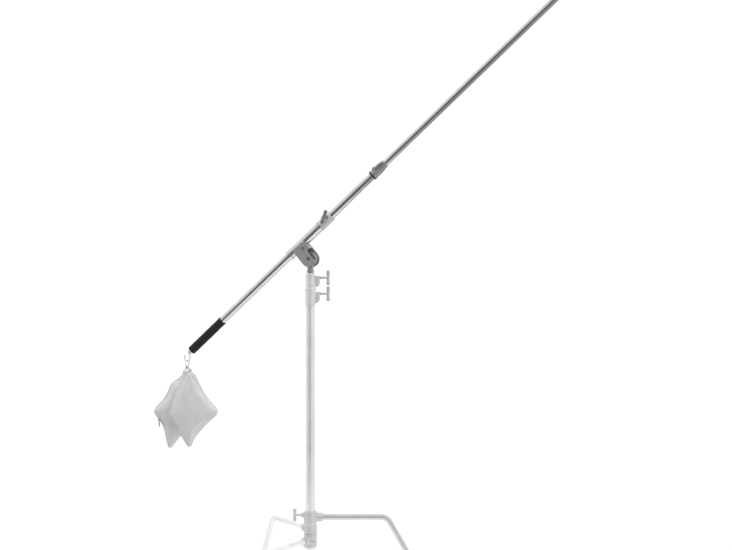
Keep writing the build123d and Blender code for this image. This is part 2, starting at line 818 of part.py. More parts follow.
def make_friction_washers():
    """Two fibre washers between the receiver's tongue and the cheeks."""
    with BuildPart() as piece:
        for start in (-cheek_inner + 0.1, tongue_half_width + 0.1):
            with BuildSketch(side_plane(pivot_along, -pivot_drop, start)):
                Circle(friction_washer_radius)
                Circle(pivot_diameter / 2 + 0.1, mode=Mode.SUBTRACT)
            extrude(amount=cheek_inner - tongue_half_width - 0.2)
    return piece


def make_collar_ring():
    """The dark ring nut at the lower end of the extension collar."""
    with BuildPart() as piece:
        with BuildSketch(boom_plane(extension_collar_low - 8.2)):
            Circle(19.6)
            with PolarLocations(20.2, 24):
                Circle(1.1, mode=Mode.SUBTRACT)
            Circle(boom_diameter / 2 + fixed_gap, mode=Mode.SUBTRACT)
        extrude(amount=8)
    return piece


def make_tip_stud():
    """The fitting in the boom's upper end: a plug, a shoulder and a grooved 16 mm stud."""
    radius = spigot_diameter / 2
    with BuildPart() as piece:
        with BuildSketch(side_plane(extension_high)):
            with BuildLine():
                Polyline(
                    (-30, 0),
                    (-30, extension_bore / 2 - fixed_gap),
                    (fixed_gap, extension_bore / 2 - fixed_gap),
                    (fixed_gap, extension_diameter / 2),
                    (6, extension_diameter / 2),
                    (8, 10),
                    (8, radius),
                    (14, radius),
                    (14.8, radius - 1.6),
                    (22, radius - 1.6),
                    (22.8, radius),
                    (tip_stud_length - 1.2, radius),
                    (tip_stud_length, radius - 1.2),
                    (tip_stud_length, 0),
                    close=True,
                )
            make_face()
        revolve(axis=Axis(boom_origin, boom_along))
    return piece


def make_grip():
    """The foam grip over the boom's lower end."""
    with BuildPart() as piece:
        with BuildSketch(boom_plane(grip_low)):
            Circle(grip_diameter / 2)
        extrude(amount=grip_high - grip_low)
        fillet(piece.edges().filter_by(GeomType.CIRCLE), 1.5)
        with BuildSketch(boom_plane(grip_low)):
            Circle(boom_diameter / 2 + fixed_gap)
        extrude(amount=grip_high - grip_low, mode=Mode.SUBTRACT)
    return piece


def make_column_cap():
    """The plastic plug that closes the column's lower end."""
    with BuildPart() as piece:
        with BuildSketch(Plane.XY.offset(column_bottom - 4)):
            Circle(column_diameter / 2)
        extrude(amount=4 - fixed_gap)
        chamfer(piece.edges().filter_by(GeomType.CIRCLE).sort_by(Axis.Z)[:1], 1.5)
        with BuildSketch(Plane.XY.offset(column_bottom - 1)):
            Circle(column_bore / 2 - fixed_gap)
        extrude(amount=20)
    return piece


# ---------------------------------------------------------------- build and write every piece
def build_base():
    column_plane = Plane.XY.offset(column_bottom)
    save(make_tube(column_plane, column_diameter, column_bore, column_top - column_bottom), "column_tube")
    save(make_column_cap(), "column_end_cap")
    make_leg_set("bottom", bottom_leg, column_diameter + 2 * fixed_gap)
    make_leg_set("middle", middle_leg, column_diameter + 2 * running_gap)
    make_leg_set("top", top_leg, column_diameter + 2 * running_gap)
    for name, height, thickness in (
        ("lower", bottom_leg["high"] + 0.1, 1.0),
        ("upper", middle_leg["high"] + 0.2, 5.4),
    ):
        washer_bore = column_diameter + 2 * running_gap
        washer = make_tube(Plane.XY.offset(height), hub_diameter - 6, washer_bore, thickness)
        save(washer, f"{name}_hub_washer")
    set_screw_plane = radial_plane(bottom_leg["screw"]["azimuth"], bottom_leg["height"], hub_screw_boss)
    set_screw = make_socket_screw(set_screw_plane, lock_screw_diameter, 13, hub_screw_boss - 17.8, 7)
    save(set_screw, "hub_set_screw")
    lock_plane = Plane(origin=(0, 0, base_lock_height), x_dir=(0, 0, 1), z_dir=(-1, 0, 0))
    save(make_lock_handle(lock_plane, 17.9, base_lock_boss + 0.6, 63, 50), "base_lock_handle")


def build_stand_collar(name, collar, tube, moving_tube):
    clear_bore = moving_tube + 2 * loose_gap
    save(make_collar(collar, tube, clear_bore), f"{name}_collar")
    save(make_collar_bush(collar, clear_bore, moving_tube), f"{name}_collar_bush")
    lock_plane = Plane(origin=(0, 0, collar["lock"]), x_dir=(0, 0, 1), z_dir=(1, 0, 0))
    shoe_end = moving_tube / 2 + shoe_length
    save(make_shoe(lock_plane, moving_tube / 2 - 1, shoe_end, moving_tube), f"{name}_clamp_shoe")
    save(make_lock_handle(lock_plane, shoe_end + 0.1, lug_reach + 0.6, 71, 60), f"{name}_lock_handle")


def build_risers():
    build_stand_collar("column", column_collar, column_diameter, lower_riser_diameter)
    lower = Plane.XY.offset(lower_riser_bottom)
    length = lower_riser_top - lower_riser_bottom
    save(make_tube(lower, lower_riser_diameter, lower_riser_bore, length), "lower_riser_tube")
    bush_plane = lower.offset(-riser_bush_length - fixed_gap)
    bush = make_tube(bush_plane, column_bore - 2 * running_gap, 24, riser_bush_length)
    save(bush, "lower_riser_bush")
    build_stand_collar("riser", riser_collar, lower_riser_diameter, upper_riser_diameter)
    upper = Plane.XY.offset(upper_riser_bottom)
    length = upper_riser_top - upper_riser_bottom
    save(make_tube(upper, upper_riser_diameter, upper_riser_bore, length), "upper_riser_tube")
    bush_plane = upper.offset(-riser_bush_length - fixed_gap)
    bush = make_tube(bush_plane, lower_riser_bore - 2 * running_gap, 20, riser_bush_length)
    save(bush, "upper_riser_bush")
    save(make_spigot(), "riser_spigot")


def build_head():
    save(make_head_stem(), "head_stem")
    save(make_friction_washers(), "tilt_friction_washers")
    save(make_head_lock_screw(), "head_lock_screw")
    save(make_head_bracket(), "head_bracket")
    save(make_sleeve_bushes(), "sleeve_bushes")
    save(make_pivot_bolt(), "tilt_pivot_bolt")
    save(make_tilt_lever(), "tilt_lock_lever")
    screw_plane = side_plane(saddle_screw_along, saddle_screw_rise, cheek_outer)
    save(make_socket_screw(screw_plane, 6, 10, 13, 6), "saddle_screw")
    save(make_boom_clamp(), "boom_clamp_collar")
    bar_turn = radians(28.5)
    bar_direction = boom_along * cos(bar_turn) + boom_up * sin(bar_turn)
    lock_plane = Plane(origin=boom_point(boom_lock_along), x_dir=bar_direction, z_dir=boom_side)
    save(make_lock_handle(lock_plane, boom_diameter / 2 + 0.4, 30.6, 56, 56), "boom_lock_handle")


def build_boom():
    save(make_tube(boom_plane(boom_low), boom_diameter, boom_bore, boom_high - boom_low), "boom_tube")
    save(make_boom_end_plug(), "boom_end_plug")
    save(make_grip(), "foam_grip")
    save(make_extension_collar(), "extension_collar")
    save(make_collar_ring(), "extension_collar_ring")
    bush_plane = boom_plane(extension_collar_high - 12 + fixed_gap)
    bush_outer = extension_diameter + 2.4 - 2 * fixed_gap
    bush = make_tube(bush_plane, bush_outer, extension_diameter + 2 * running_gap, 12 - fixed_gap)
    save(bush, "extension_collar_bush")
    save(make_lever_pin(), "extension_lever_pin")
    save(make_extension_lever(), "extension_lock_lever")
    tube_length = extension_high - extension_low
    tube = make_tube(boom_plane(extension_low), extension_diameter, extension_bore, tube_length)
    save(tube, "extension_tube")
    inner_bush_plane = boom_plane(extension_low - 25 - fixed_gap)
    save(make_tube(inner_bush_plane, boom_bore - 2 * running_gap, 20, 25), "extension_bush")
    save(make_tip_stud(), "tip_stud")


def build_counterweight():
    hook_pin_plane = side_plane(hook_pivot_along, 0, -9)
    save(make_pin(hook_pin_plane, hook_pin_diameter, 18), "hook_pin")
    save(make_hook(), "weight_hook")
    save(make_ring(), "sandbag_ring")
    save(make_strap(), "sandbag_strap")
    for name, outline, middle in (
        ("front", front_outline, ring_centre.Y - pouch_offset),
        ("rear", rear_outline, ring_centre.Y + pouch_offset),
    ):
        save(make_pouch(placed(outline), middle), f"{name}_pouch")
        sand = make_pad(placed(outline), middle, sand_thickness, sand_scale, sand_face_scale)
        save(sand, f"{name}_sand")


os.makedirs("parts", exist_ok=True)
build_base()
build_risers()
build_head()
build_boom()
build_counterweight()
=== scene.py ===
"""Looks of a C-stand with a telescopic boom arm, a foam grip, a hook and a saddle sandbag.

Metres, +Z up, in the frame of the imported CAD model. The origin is on the floor, on the column's axis.
"""
import json

import bmesh
import bpy
import numpy as np
from bpy.props import FloatProperty, FloatVectorProperty, IntProperty, PointerProperty
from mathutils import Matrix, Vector

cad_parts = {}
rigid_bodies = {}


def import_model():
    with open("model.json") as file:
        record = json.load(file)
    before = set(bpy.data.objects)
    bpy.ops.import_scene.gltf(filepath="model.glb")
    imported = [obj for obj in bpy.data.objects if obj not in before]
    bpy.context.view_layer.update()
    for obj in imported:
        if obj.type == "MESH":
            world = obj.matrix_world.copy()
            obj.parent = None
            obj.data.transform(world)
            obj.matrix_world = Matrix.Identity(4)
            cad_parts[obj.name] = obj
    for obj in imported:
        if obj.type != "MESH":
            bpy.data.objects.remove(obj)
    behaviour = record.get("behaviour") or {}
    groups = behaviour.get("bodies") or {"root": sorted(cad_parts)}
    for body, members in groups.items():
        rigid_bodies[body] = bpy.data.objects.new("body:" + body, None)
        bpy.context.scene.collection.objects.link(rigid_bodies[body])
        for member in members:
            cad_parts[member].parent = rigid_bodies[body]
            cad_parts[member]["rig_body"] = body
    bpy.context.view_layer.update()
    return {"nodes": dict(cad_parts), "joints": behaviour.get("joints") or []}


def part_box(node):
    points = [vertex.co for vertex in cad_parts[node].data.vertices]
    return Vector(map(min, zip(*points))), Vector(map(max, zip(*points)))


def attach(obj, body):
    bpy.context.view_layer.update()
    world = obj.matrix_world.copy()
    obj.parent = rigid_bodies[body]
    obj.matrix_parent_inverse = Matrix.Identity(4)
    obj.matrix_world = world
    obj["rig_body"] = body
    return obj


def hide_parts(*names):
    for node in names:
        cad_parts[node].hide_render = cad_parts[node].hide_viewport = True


bl_info = {
    "name": "C-stand with boom arm",
    "version": (1, 0, 0),
    "blender": (4, 5, 0),
    "location": "View3D > Sidebar > C-stand",
    "description": "Builds the tubes, castings, handles, grip, hook and sandbag of a C-stand",
    "category": "Add Mesh",
}

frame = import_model()
MM = 0.001


# ---------------------------------------------------------------- places taken from the CAD model
def unit(vector):
    vector = np.asarray(vector, float)
    return vector / np.linalg.norm(vector, axis=-1, keepdims=True)


def node_points(node):
    """All corners of a CAD node as rows of x, y, z."""
    mesh = frame["nodes"][node].data
    points = np.empty(len(mesh.vertices) * 3, np.float32)
    mesh.vertices.foreach_get("co", points)
    return points.reshape(-1, 3).astype(float)


def joint(name):
    return next(j for j in frame["joints"] if j["name"] == name)


class Line:
    """A straight line in space with two directions square to it, for shapes built round it."""

    def __init__(self, origin, along, across=(0.0, 0.0, 1.0)):
        self.origin = np.array(origin, float)
        self.z = unit(along)
        self.x = unit(np.array(across, float) - np.dot(across, self.z) * self.z)
        self.y = np.cross(self.z, self.x)

    def at(self, across, beside, along):
        """origin + across * x + beside * y + along * z, for numbers or whole arrays."""
        across, beside, along = np.broadcast_arrays(across, beside, along)
        return (
            self.origin
            + across[..., None] * self.x
            + beside[..., None] * self.y
            + along[..., None] * self.z
        )

    def span(self, node):
        """Lowest and highest distance along the line, then least and greatest radius, of a CAD node."""
        offset = node_points(node) - self.origin
        along = offset @ self.z
        radius = np.linalg.norm(offset - along[:, None] * self.z, axis=1)
        return along.min(), along.max(), radius.min(), radius.max()


COLUMN = Line((0, 0, 0), (0, 0, 1), (1, 0, 0))
TILT_AXIS = np.array(joint("boom_tilt")["axis"], float)
BOOM = Line(node_points("boom_tube").mean(0), joint("boom_slide")["axis"], TILT_AXIS)
HEADING = unit([BOOM.z[0], BOOM.z[1], 0.0])
RING_LOW, RING_HIGH = (np.array(corner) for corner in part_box("sandbag_ring"))
RING_CENTRE = (RING_LOW + RING_HIGH) / 2


# ---------------------------------------------------------------- surfaces
def rounded(corners, radius, steps=5, closed=False):
    """Every corner becomes a short curve (1-t)^2 start + 2t(1-t) corner + t^2 end, whose ends lie a radius
    away on the corner's two sides, or 0.48 of a side where that is nearer."""
    corners = np.asarray(corners, float)
    before, after = np.roll(corners, 1, 0) - corners, np.roll(corners, -1, 0) - corners
    length_before = np.linalg.norm(before, axis=1, keepdims=True)
    length_after = np.linalg.norm(after, axis=1, keepdims=True)
    reach = np.broadcast_to(np.asarray(radius, float).reshape(-1, 1), (len(corners), 1))
    start = corners + before / length_before * np.minimum(reach, 0.48 * length_before)
    end = corners + after / length_after * np.minimum(reach, 0.48 * length_after)
    t = np.linspace(0, 1, steps)[None, :, None]
    curve = (1 - t) ** 2 * start[:, None] + 2 * t * (1 - t) * corners[:, None] + t**2 * end[:, None]
    if not closed:
        curve[0], curve[-1] = corners[0], corners[-1]
    return curve.reshape(-1, corners.shape[1])


def bent_path(corners, radius, steps=20):
    """Straight runs joined by true arcs: at a corner with turn angle a the arc starts radius * tan(a/2)
    before it, and point = centre - radius * cos(b) * inwards + radius * sin(b) * onwards, b from 0 to a."""
    corners = np.asarray(corners, float)
    arriving = unit(corners[1:-1] - corners[:-2])
    leaving = unit(corners[2:] - corners[1:-1])
    cosine = np.sum(arriving * leaving, axis=1, keepdims=True)
    turn = np.arccos(np.clip(cosine, -1, 1))
    inwards = unit(leaving - cosine * arriving)
    centre = corners[1:-1] - arriving * radius * np.tan(turn / 2) + inwards * radius
    angle = (np.linspace(0, 1, steps)[None, :] * turn)[..., None]
    arcs = centre[:, None] - radius * np.cos(angle) * inwards[:, None]
    arcs = arcs + radius * np.sin(angle) * arriving[:, None]
    return np.concatenate([corners[:1], arcs.reshape(-1, corners.shape[1]), corners[-1:]])


def evenly(points, count, closed=False):
    """Points at equal distances along a line of corners, by interpolation over its length."""
    line = np.concatenate([points, points[:1]]) if closed else np.asarray(points)
    travelled = np.append(0, np.cumsum(np.linalg.norm(np.diff(line, axis=0), axis=1)))
    wanted = np.linspace(0, travelled[-1], count, endpoint=not closed)
    return np.stack([np.interp(wanted, travelled, line[:, k]) for k in range(line.shape[1])], axis=1)


def surface(points, close_rows=False, close_columns=False):
    """Quads over a grid of points, with a map that measures the surface in metres along both directions."""
    rows, columns = points.shape[:2]
    row = np.arange(rows if close_rows else rows - 1)
    column = np.arange(columns if close_columns else columns - 1)
    row, column = (g.ravel() for g in np.meshgrid(row, column, indexing="ij"))
    next_row, next_column = (row + 1) % rows, (column + 1) % columns
    faces = np.stack(
        [
            row * columns + column,
            next_row * columns + column,
            next_row * columns + next_column,
            row * columns + next_column,
        ],
        axis=1,
    )
    row_steps = np.linalg.norm(np.roll(points, -1, 0) - points, axis=2).mean(1)
    column_steps = np.linalg.norm(np.roll(points, -1, 1) - points, axis=2).mean(0)
    u = np.append(0, np.cumsum(row_steps))
    v = np.append(0, np.cumsum(column_steps))
    corner_u = np.stack([u[row], u[row + 1], u[row + 1], u[row]], axis=1)
    corner_v = np.stack([v[column], v[column], v[column + 1], v[column + 1]], axis=1)
    return points.reshape(-1, 3), faces, np.stack([corner_u, corner_v], axis=2).reshape(-1, 2)


def joined(*surfaces):
    """Several surfaces as one set of points, faces and map."""
    starts = np.cumsum([0] + [len(points) for points, _, _ in surfaces[:-1]])
    return (
        np.concatenate([points for points, _, _ in surfaces]),
        np.concatenate([faces + start for (_, faces, _), start in zip(surfaces, starts)]),
        np.concatenate([uv for _, _, uv in surfaces]),
    )


def lathe(line, profile, count=64, factors=(), closed=False):
    """A profile of (radius, distance along, weights) carried round a line. At each angle the radius is
    radius * (1 + weight * (factor(angle) - 1)) for every factor, which makes flutes, knurls and hexagons."""
    profile = np.asarray(profile, float)
    angle = np.linspace(0, 2 * np.pi, count, endpoint=False)[:, None]
    radius = profile[:, 0][None, :] * np.ones_like(angle)
    for factor, weight in zip(factors, profile[:, 2:].T):
        radius = radius * (1 + weight[None, :] * (factor(angle) - 1))
    return surface(
        line.at(radius * np.cos(angle), radius * np.sin(angle), profile[:, 1][None, :]), True, closed
    )


def swept(path, section, across, dome=0.0, closed=False):
    """A closed section carried along a path: point = path + s * (across x tangent) + t * across. Near the
    ends the section shrinks by sqrt(1 - (1 - distance / dome)^2), which closes them with a round dome."""
    path, section = np.asarray(path, float), np.asarray(section, float)
    if closed:
        tangent = unit(np.roll(path, -1, 0) - np.roll(path, 1, 0))
    else:
        tangent = unit(np.gradient(path, axis=0))
    across = np.broadcast_to(np.asarray(across, float), path.shape)
    across = unit(across - np.sum(across * tangent, axis=1, keepdims=True) * tangent)
    side = np.cross(across, tangent)
    scale = np.ones(len(path))
    if not closed:
        steps = np.linalg.norm(np.diff(path, axis=0), axis=1)
        travelled = np.append(0, np.cumsum(steps))
        to_end = np.minimum(travelled, travelled[-1] - travelled)
        share = np.clip(to_end / max(dome, 1e-9), 0, 1)
        scale = np.sqrt(np.clip(1 - (1 - share) ** 2, 0, 1))
    section = np.broadcast_to(section, (len(path),) + section.shape[-2:]) * scale[:, None, None]
    points = path[:, None] + section[..., :1] * side[:, None] + section[..., 1:] * across[:, None]
    return surface(points, closed, True)


def with_dome(path, dome, steps=6):
    """The path with extra points near both ends, so that a domed end has enough rows."""
    share = 1 - np.cos(np.linspace(0, np.pi / 2, steps))
    first, last = unit(path[1] - path[0]), unit(path[-2] - path[-1])
    start = path[0] + first * (share * dome)[:, None]
    end = (path[-1] + last * (share * dome)[:, None])[::-1]
    return np.concatenate([start, path[1:-1], end])


def oval(width, height, count=20, power=1.0):
    """A closed section: (width / 2 * cos(a), height / 2 * sin(a)), with a power for squarer corners."""
    angle = np.linspace(0, 2 * np.pi, count, endpoint=False)
    cosine, sine = np.cos(angle), np.sin(angle)
    return np.stack(
        [
            width / 2 * np.sign(cosine) * np.abs(cosine) ** power,
            height / 2 * np.sign(sine) * np.abs(sine) ** power,
        ],
        axis=1,
    )


# ---------------------------------------------------------------- pieces
def finish_piece(obj, body, slot, replaces=(), material=None):
    if not obj.users_collection:
        bpy.context.scene.collection.objects.link(obj)
    obj.data.materials.clear()
    obj.data.materials.append(bpy.data.materials[material or slot])
    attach(obj, body)
    if replaces:
        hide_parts(*replaces)
    return obj


def body_of(node):
    return frame["nodes"][node]["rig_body"]


def slot_of(node):
    return frame["nodes"][node].get("finish_slot") or frame["nodes"][node].data.materials[0].name


def new_piece(name, shape, body, slot, replaces=(), sharp_angle=40.0, material=None):
    """Makes one piece from points, faces and map; poles are merged and the faces point outwards."""
    points, faces, uv = shape
    mesh = bpy.data.meshes.new(name)
    mesh.from_pydata(points.tolist(), [], faces.tolist())
    mesh.uv_layers.new(name="Metres").data.foreach_set("uv", uv.astype(np.float32).ravel())
    work = bmesh.new()
    work.from_mesh(mesh)
    bmesh.ops.remove_doubles(work, verts=work.verts, dist=2e-6)
    bmesh.ops.dissolve_degenerate(work, edges=work.edges, dist=1e-7)
    bmesh.ops.recalc_face_normals(work, faces=work.faces)
    work.to_mesh(mesh)
    work.free()
    mesh.shade_smooth()
    mesh.set_sharp_from_angle(angle=np.radians(sharp_angle))
    return finish_piece(bpy.data.objects.new(name, mesh), body, slot, replaces, material)


def rebuilt(obj):
    """The mesh of an object with its modifiers applied."""
    return bpy.data.meshes.new_from_object(obj.evaluated_get(bpy.context.evaluated_depsgraph_get()))


def cast_piece(node, cell, rounds, material=None):
    """A copy of a CAD node, merged, rebuilt on an even grid of small cells and relaxed a few rounds, so that
    its edges and inner corners turn round as a casting's or a forging's do. It stands for the node."""
    mesh = frame["nodes"][node].data.copy()
    work = bmesh.new()
    work.from_mesh(mesh)
    bmesh.ops.remove_doubles(work, verts=work.verts, dist=2e-6)
    work.to_mesh(mesh)
    work.free()
    obj = bpy.data.objects.new(node + "_rounded", mesh)
    bpy.context.scene.collection.objects.link(obj)
    cells = obj.modifiers.new("cells", "REMESH")
    cells.mode, cells.voxel_size = "VOXEL", cell
    relax = obj.modifiers.new("relax", "SMOOTH")
    relax.factor, relax.iterations = 0.5, rounds
    obj.data = rebuilt(obj)
    obj.modifiers.clear()
    obj.data.shade_smooth()
    return finish_piece(obj, body_of(node), slot_of(node), [node], material)


# ---------------------------------------------------------------- shader helpers
def put(tree, socket, value):
    if isinstance(value, bpy.types.NodeSocket):
        tree.links.new(value, socket)
    elif socket.type == "RGBA":
        socket.default_value = (*value[:3], 1.0)
    else:
        socket.default_value = value


def add_node(tree, kind, inputs=None, **settings):
    made = tree.nodes.new("ShaderNode" + kind)
    for key, value in settings.items():
        setattr(made, key, value)
    for key, value in (inputs or {}).items():
        put(tree, made.inputs[key], value)
    return made


def mixed(tree, factor, first, second, blend="MIX"):
    return add_node(
        tree, "Mix", {0: factor, 6: first, 7: second}, data_type="RGBA", blend_type=blend
    ).outputs[2]


def ranged(tree, value, low, high, to_low=0.0, to_high=1.0):
    inputs = {"Value": value, "From Min": low, "From Max": high, "To Min": to_low, "To Max": to_high}
    return add_node(tree, "MapRange", inputs, clamp=True).outputs["Result"]


def calculated(tree, operation, first, second=0.0):
    return add_node(tree, "Math", {0: first, 1: second}, operation=operation).outputs[0]


def noise(tree, vector, scale, detail=3.0):
    inputs = {"Vector": vector, "Scale": scale, "Detail": detail}
    return add_node(tree, "TexNoise", inputs).outputs["Fac"]


def shader_group(name, inputs, outputs, build):
    """A node group with named number inputs and outputs; build returns the sockets for the outputs."""
    group = bpy.data.node_groups.new(name, "ShaderNodeTree")
    for label, value in inputs.items():
        kind = "NodeSocketVector" if value is None else "NodeSocketFloat"
        socket = group.interface.new_socket(label, in_out="INPUT", socket_type=kind)
        if value is not None:
            socket.default_value = value
    for label in outputs:
        group.interface.new_socket(label, in_out="OUTPUT", socket_type="NodeSocketFloat")
    inlet, outlet = group.nodes.new("NodeGroupInput"), group.nodes.new("NodeGroupOutput")
    for label, socket in zip(outputs, build(group, inlet.outputs)):
        group.links.new(socket, outlet.inputs[label])


def build_grain(tree, given):
    place = add_node(tree, "TexCoord").outputs["Object"]
    fine = noise(tree, place, given["Scale"])
    broad = noise(tree, place, 11.0)
    tone = ranged(tree, calculated(tree, "ADD", fine, broad), 0.75, 1.25)
    return tone, fine


def build_wear(tree, given):
    place = add_node(tree, "TexCoord").outputs["Object"]
    edge = add_node(tree, "NewGeometry").outputs["Pointiness"]
    mask = ranged(tree, edge, given["Start"], calculated(tree, "ADD", given["Start"], 0.07))
    return (calculated(tree, "MULTIPLY", mask, ranged(tree, noise(tree, place, 90.0), 0.35, 0.6)),)


def build_scuffs(tree, given):
    place = add_node(tree, "TexCoord").outputs["UV"]
    stretch = add_node(tree, "CombineXYZ", {"X": given["Around"], "Y": given["Along"], "Z": 1.0})
    scaled = add_node(tree, "VectorMath", {0: place, 1: stretch.outputs[0]}, operation="MULTIPLY")
    lines = noise(tree, scaled.outputs[0], 1.0, 2.0)
    return (ranged(tree, lines, 0.52, 0.74),)


def humps(tree, value):
    """|sin(pi * value)|: one hump in every whole step."""
    return calculated(tree, "ABSOLUTE", calculated(tree, "SINE", calculated(tree, "MULTIPLY", value, np.pi)))


def build_weave(tree, given):
    scaled = add_node(tree, "VectorMath", {0: given["Vector"], "Scale": given["Threads"]}, operation="SCALE")
    checker = {"Vector": scaled.outputs[0], "Color1": (1, 1, 1), "Color2": (0, 0, 0), "Scale": 1.0}
    over = add_node(tree, "TexChecker", checker).outputs["Fac"]
    axes = add_node(tree, "SeparateXYZ", {"Vector": scaled.outputs[0]})
    across, down = humps(tree, axes.outputs[0]), humps(tree, axes.outputs[1])
    first = calculated(tree, "MULTIPLY", across, over)
    second = calculated(tree, "MULTIPLY", down, calculated(tree, "SUBTRACT", 1.0, over))
    height = calculated(tree, "ADD", first, second)
    # The second output, darker where the threads are low, is painted shade in the gaps between threads.
    return height, ranged(tree, height, 0.0, 0.8, 0.0, 1.0)


def build_dust(tree, given):
    place = add_node(tree, "TexCoord").outputs["Object"]
    upwards = add_node(tree, "SeparateXYZ", {"Vector": add_node(tree, "NewGeometry").outputs["Normal"]})
    lying = ranged(tree, upwards.outputs["Z"], 0.35, 1.0)
    patches = ranged(tree, noise(tree, place, 26.0), 0.3, 0.7)
    return (calculated(tree, "MULTIPLY", calculated(tree, "MULTIPLY", lying, patches), given["Amount"]),)


def group_node(tree, name, inputs):
    made = tree.nodes.new("ShaderNodeGroup")
    made.node_tree = bpy.data.node_groups[name]
    for key, value in inputs.items():
        put(tree, made.inputs[key], value)
    return made.outputs


def shaded(colour, factor):
    return [min(1.0, c * factor) for c in colour[:3]]


def new_material(name, settings):
    """A cleared material with one Principled shader, whose constant values are set on its own sockets."""
    material = bpy.data.materials.get(name) or bpy.data.materials.new(name)
    material.use_nodes = True
    tree = material.node_tree
    tree.nodes.clear()
    shader = add_node(tree, "BsdfPrincipled", settings)
    output = add_node(tree, "OutputMaterial", {"Surface": shader.outputs[0]})
    output.is_active_output = True
    return tree, shader


def metal(name, colour, rough, metallic=1.0, grain=700.0, bump=0.02, wear=0.0, scuffs=0.0, dust=0.12):
    """Metal with fine grain in its tone and roughness, bright worn edges, long scuffs and a little dust."""
    tree, shader = new_material(name, {"Metallic": metallic})
    tone, height = group_node(tree, "Fine grain", {"Scale": grain})[:2]
    shade = mixed(tree, tone, shaded(colour, 0.9), shaded(colour, 1.06))
    roughness = ranged(tree, tone, 0.0, 1.0, rough[0], rough[1])
    if wear:
        mask = group_node(tree, "Edge wear", {"Start": 0.53})["Mask"]
        shade = mixed(tree, calculated(tree, "MULTIPLY", mask, wear), shade, shaded(colour, 1.45))
    if scuffs:
        lines = group_node(tree, "Long scuffs", {"Around": 900.0, "Along": 14.0})["Mask"]
        lines = calculated(tree, "MULTIPLY", lines, scuffs)
        shade = mixed(tree, lines, shade, shaded(colour, 0.82))
        roughness = calculated(tree, "ADD", roughness, calculated(tree, "MULTIPLY", lines, 0.3))
    layer = group_node(tree, "Settled dust", {"Amount": dust})["Mask"]
    shade = mixed(tree, layer, shade, (0.62, 0.61, 0.59))
    roughness = calculated(tree, "ADD", roughness, calculated(tree, "MULTIPLY", layer, 0.4))
    relief = add_node(tree, "Bump", {"Height": height, "Strength": bump, "Distance": 0.0003})
    put(tree, shader.inputs["Base Color"], shade)
    put(tree, shader.inputs["Roughness"], roughness)
    put(tree, shader.inputs["Normal"], relief.outputs[0])


def moulded(name, colour, rough, grain=900.0, bump=0.25, sheen=0.0, dust=0.1):
    """Plastic, rubber or foam: pores or a fine moulded grain, uneven gloss and dust on what faces up."""
    settings = {"Metallic": 0.0, "Sheen Weight": sheen, "Sheen Roughness": 0.5, "IOR": 1.45}
    tree, shader = new_material(name, settings)
    tone, height = group_node(tree, "Fine grain", {"Scale": grain})[:2]
    shade = mixed(tree, tone, shaded(colour, 0.72), shaded(colour, 1.25))
    layer = group_node(tree, "Settled dust", {"Amount": dust})["Mask"]
    shade = mixed(tree, layer, shade, (0.5, 0.49, 0.47))
    relief = add_node(tree, "Bump", {"Height": height, "Strength": bump, "Distance": 0.0005})
    put(tree, shader.inputs["Base Color"], shade)
    put(tree, shader.inputs["Roughness"], ranged(tree, tone, 0.0, 1.0, rough[0], rough[1]))
    put(tree, shader.inputs["Normal"], relief.outputs[0])


def woven(name, colour, threads, on_map, bump=0.35):
    """Cloth: a plain weave of over and under threads with painted shade in the low gaps between them, soft
    stains and a light sheen.
    """
    tree, shader = new_material(name, {"Sheen Weight": 0.25, "Sheen Roughness": 0.6, "IOR": 1.4})
    place = add_node(tree, "TexCoord")
    vector = place.outputs["UV"]
    if not on_map:
        axes = add_node(tree, "SeparateXYZ", {"Vector": place.outputs["Object"]})
        flat = add_node(tree, "CombineXYZ", {"X": axes.outputs["X"], "Y": axes.outputs["Z"], "Z": 0.0})
        vector = flat.outputs[0]
    weave = group_node(tree, "Weave", {"Vector": vector, "Threads": threads})
    broad = noise(tree, place.outputs["Object"], 16.0)
    shade = mixed(tree, ranged(tree, broad, 0.3, 0.7), shaded(colour, 0.93), shaded(colour, 1.04))
    # Darker where the weave is low: painted shade between the threads.
    shade = mixed(tree, weave["Tone"], shaded(colour, 0.8), shade)
    layer = group_node(tree, "Settled dust", {"Amount": 0.1})["Mask"]
    shade = mixed(tree, layer, shade, (0.66, 0.65, 0.63))
    soft = noise(tree, place.outputs["Object"], 120.0)
    height = calculated(tree, "ADD", weave["Height"], calculated(tree, "MULTIPLY", soft, 1.5))
    relief = add_node(tree, "Bump", {"Height": height, "Strength": bump, "Distance": 0.0004})
    put(tree, shader.inputs["Base Color"], shade)
    put(tree, shader.inputs["Roughness"], ranged(tree, broad, 0.2, 0.8, 0.72, 0.92))
    put(tree, shader.inputs["Normal"], relief.outputs[0])


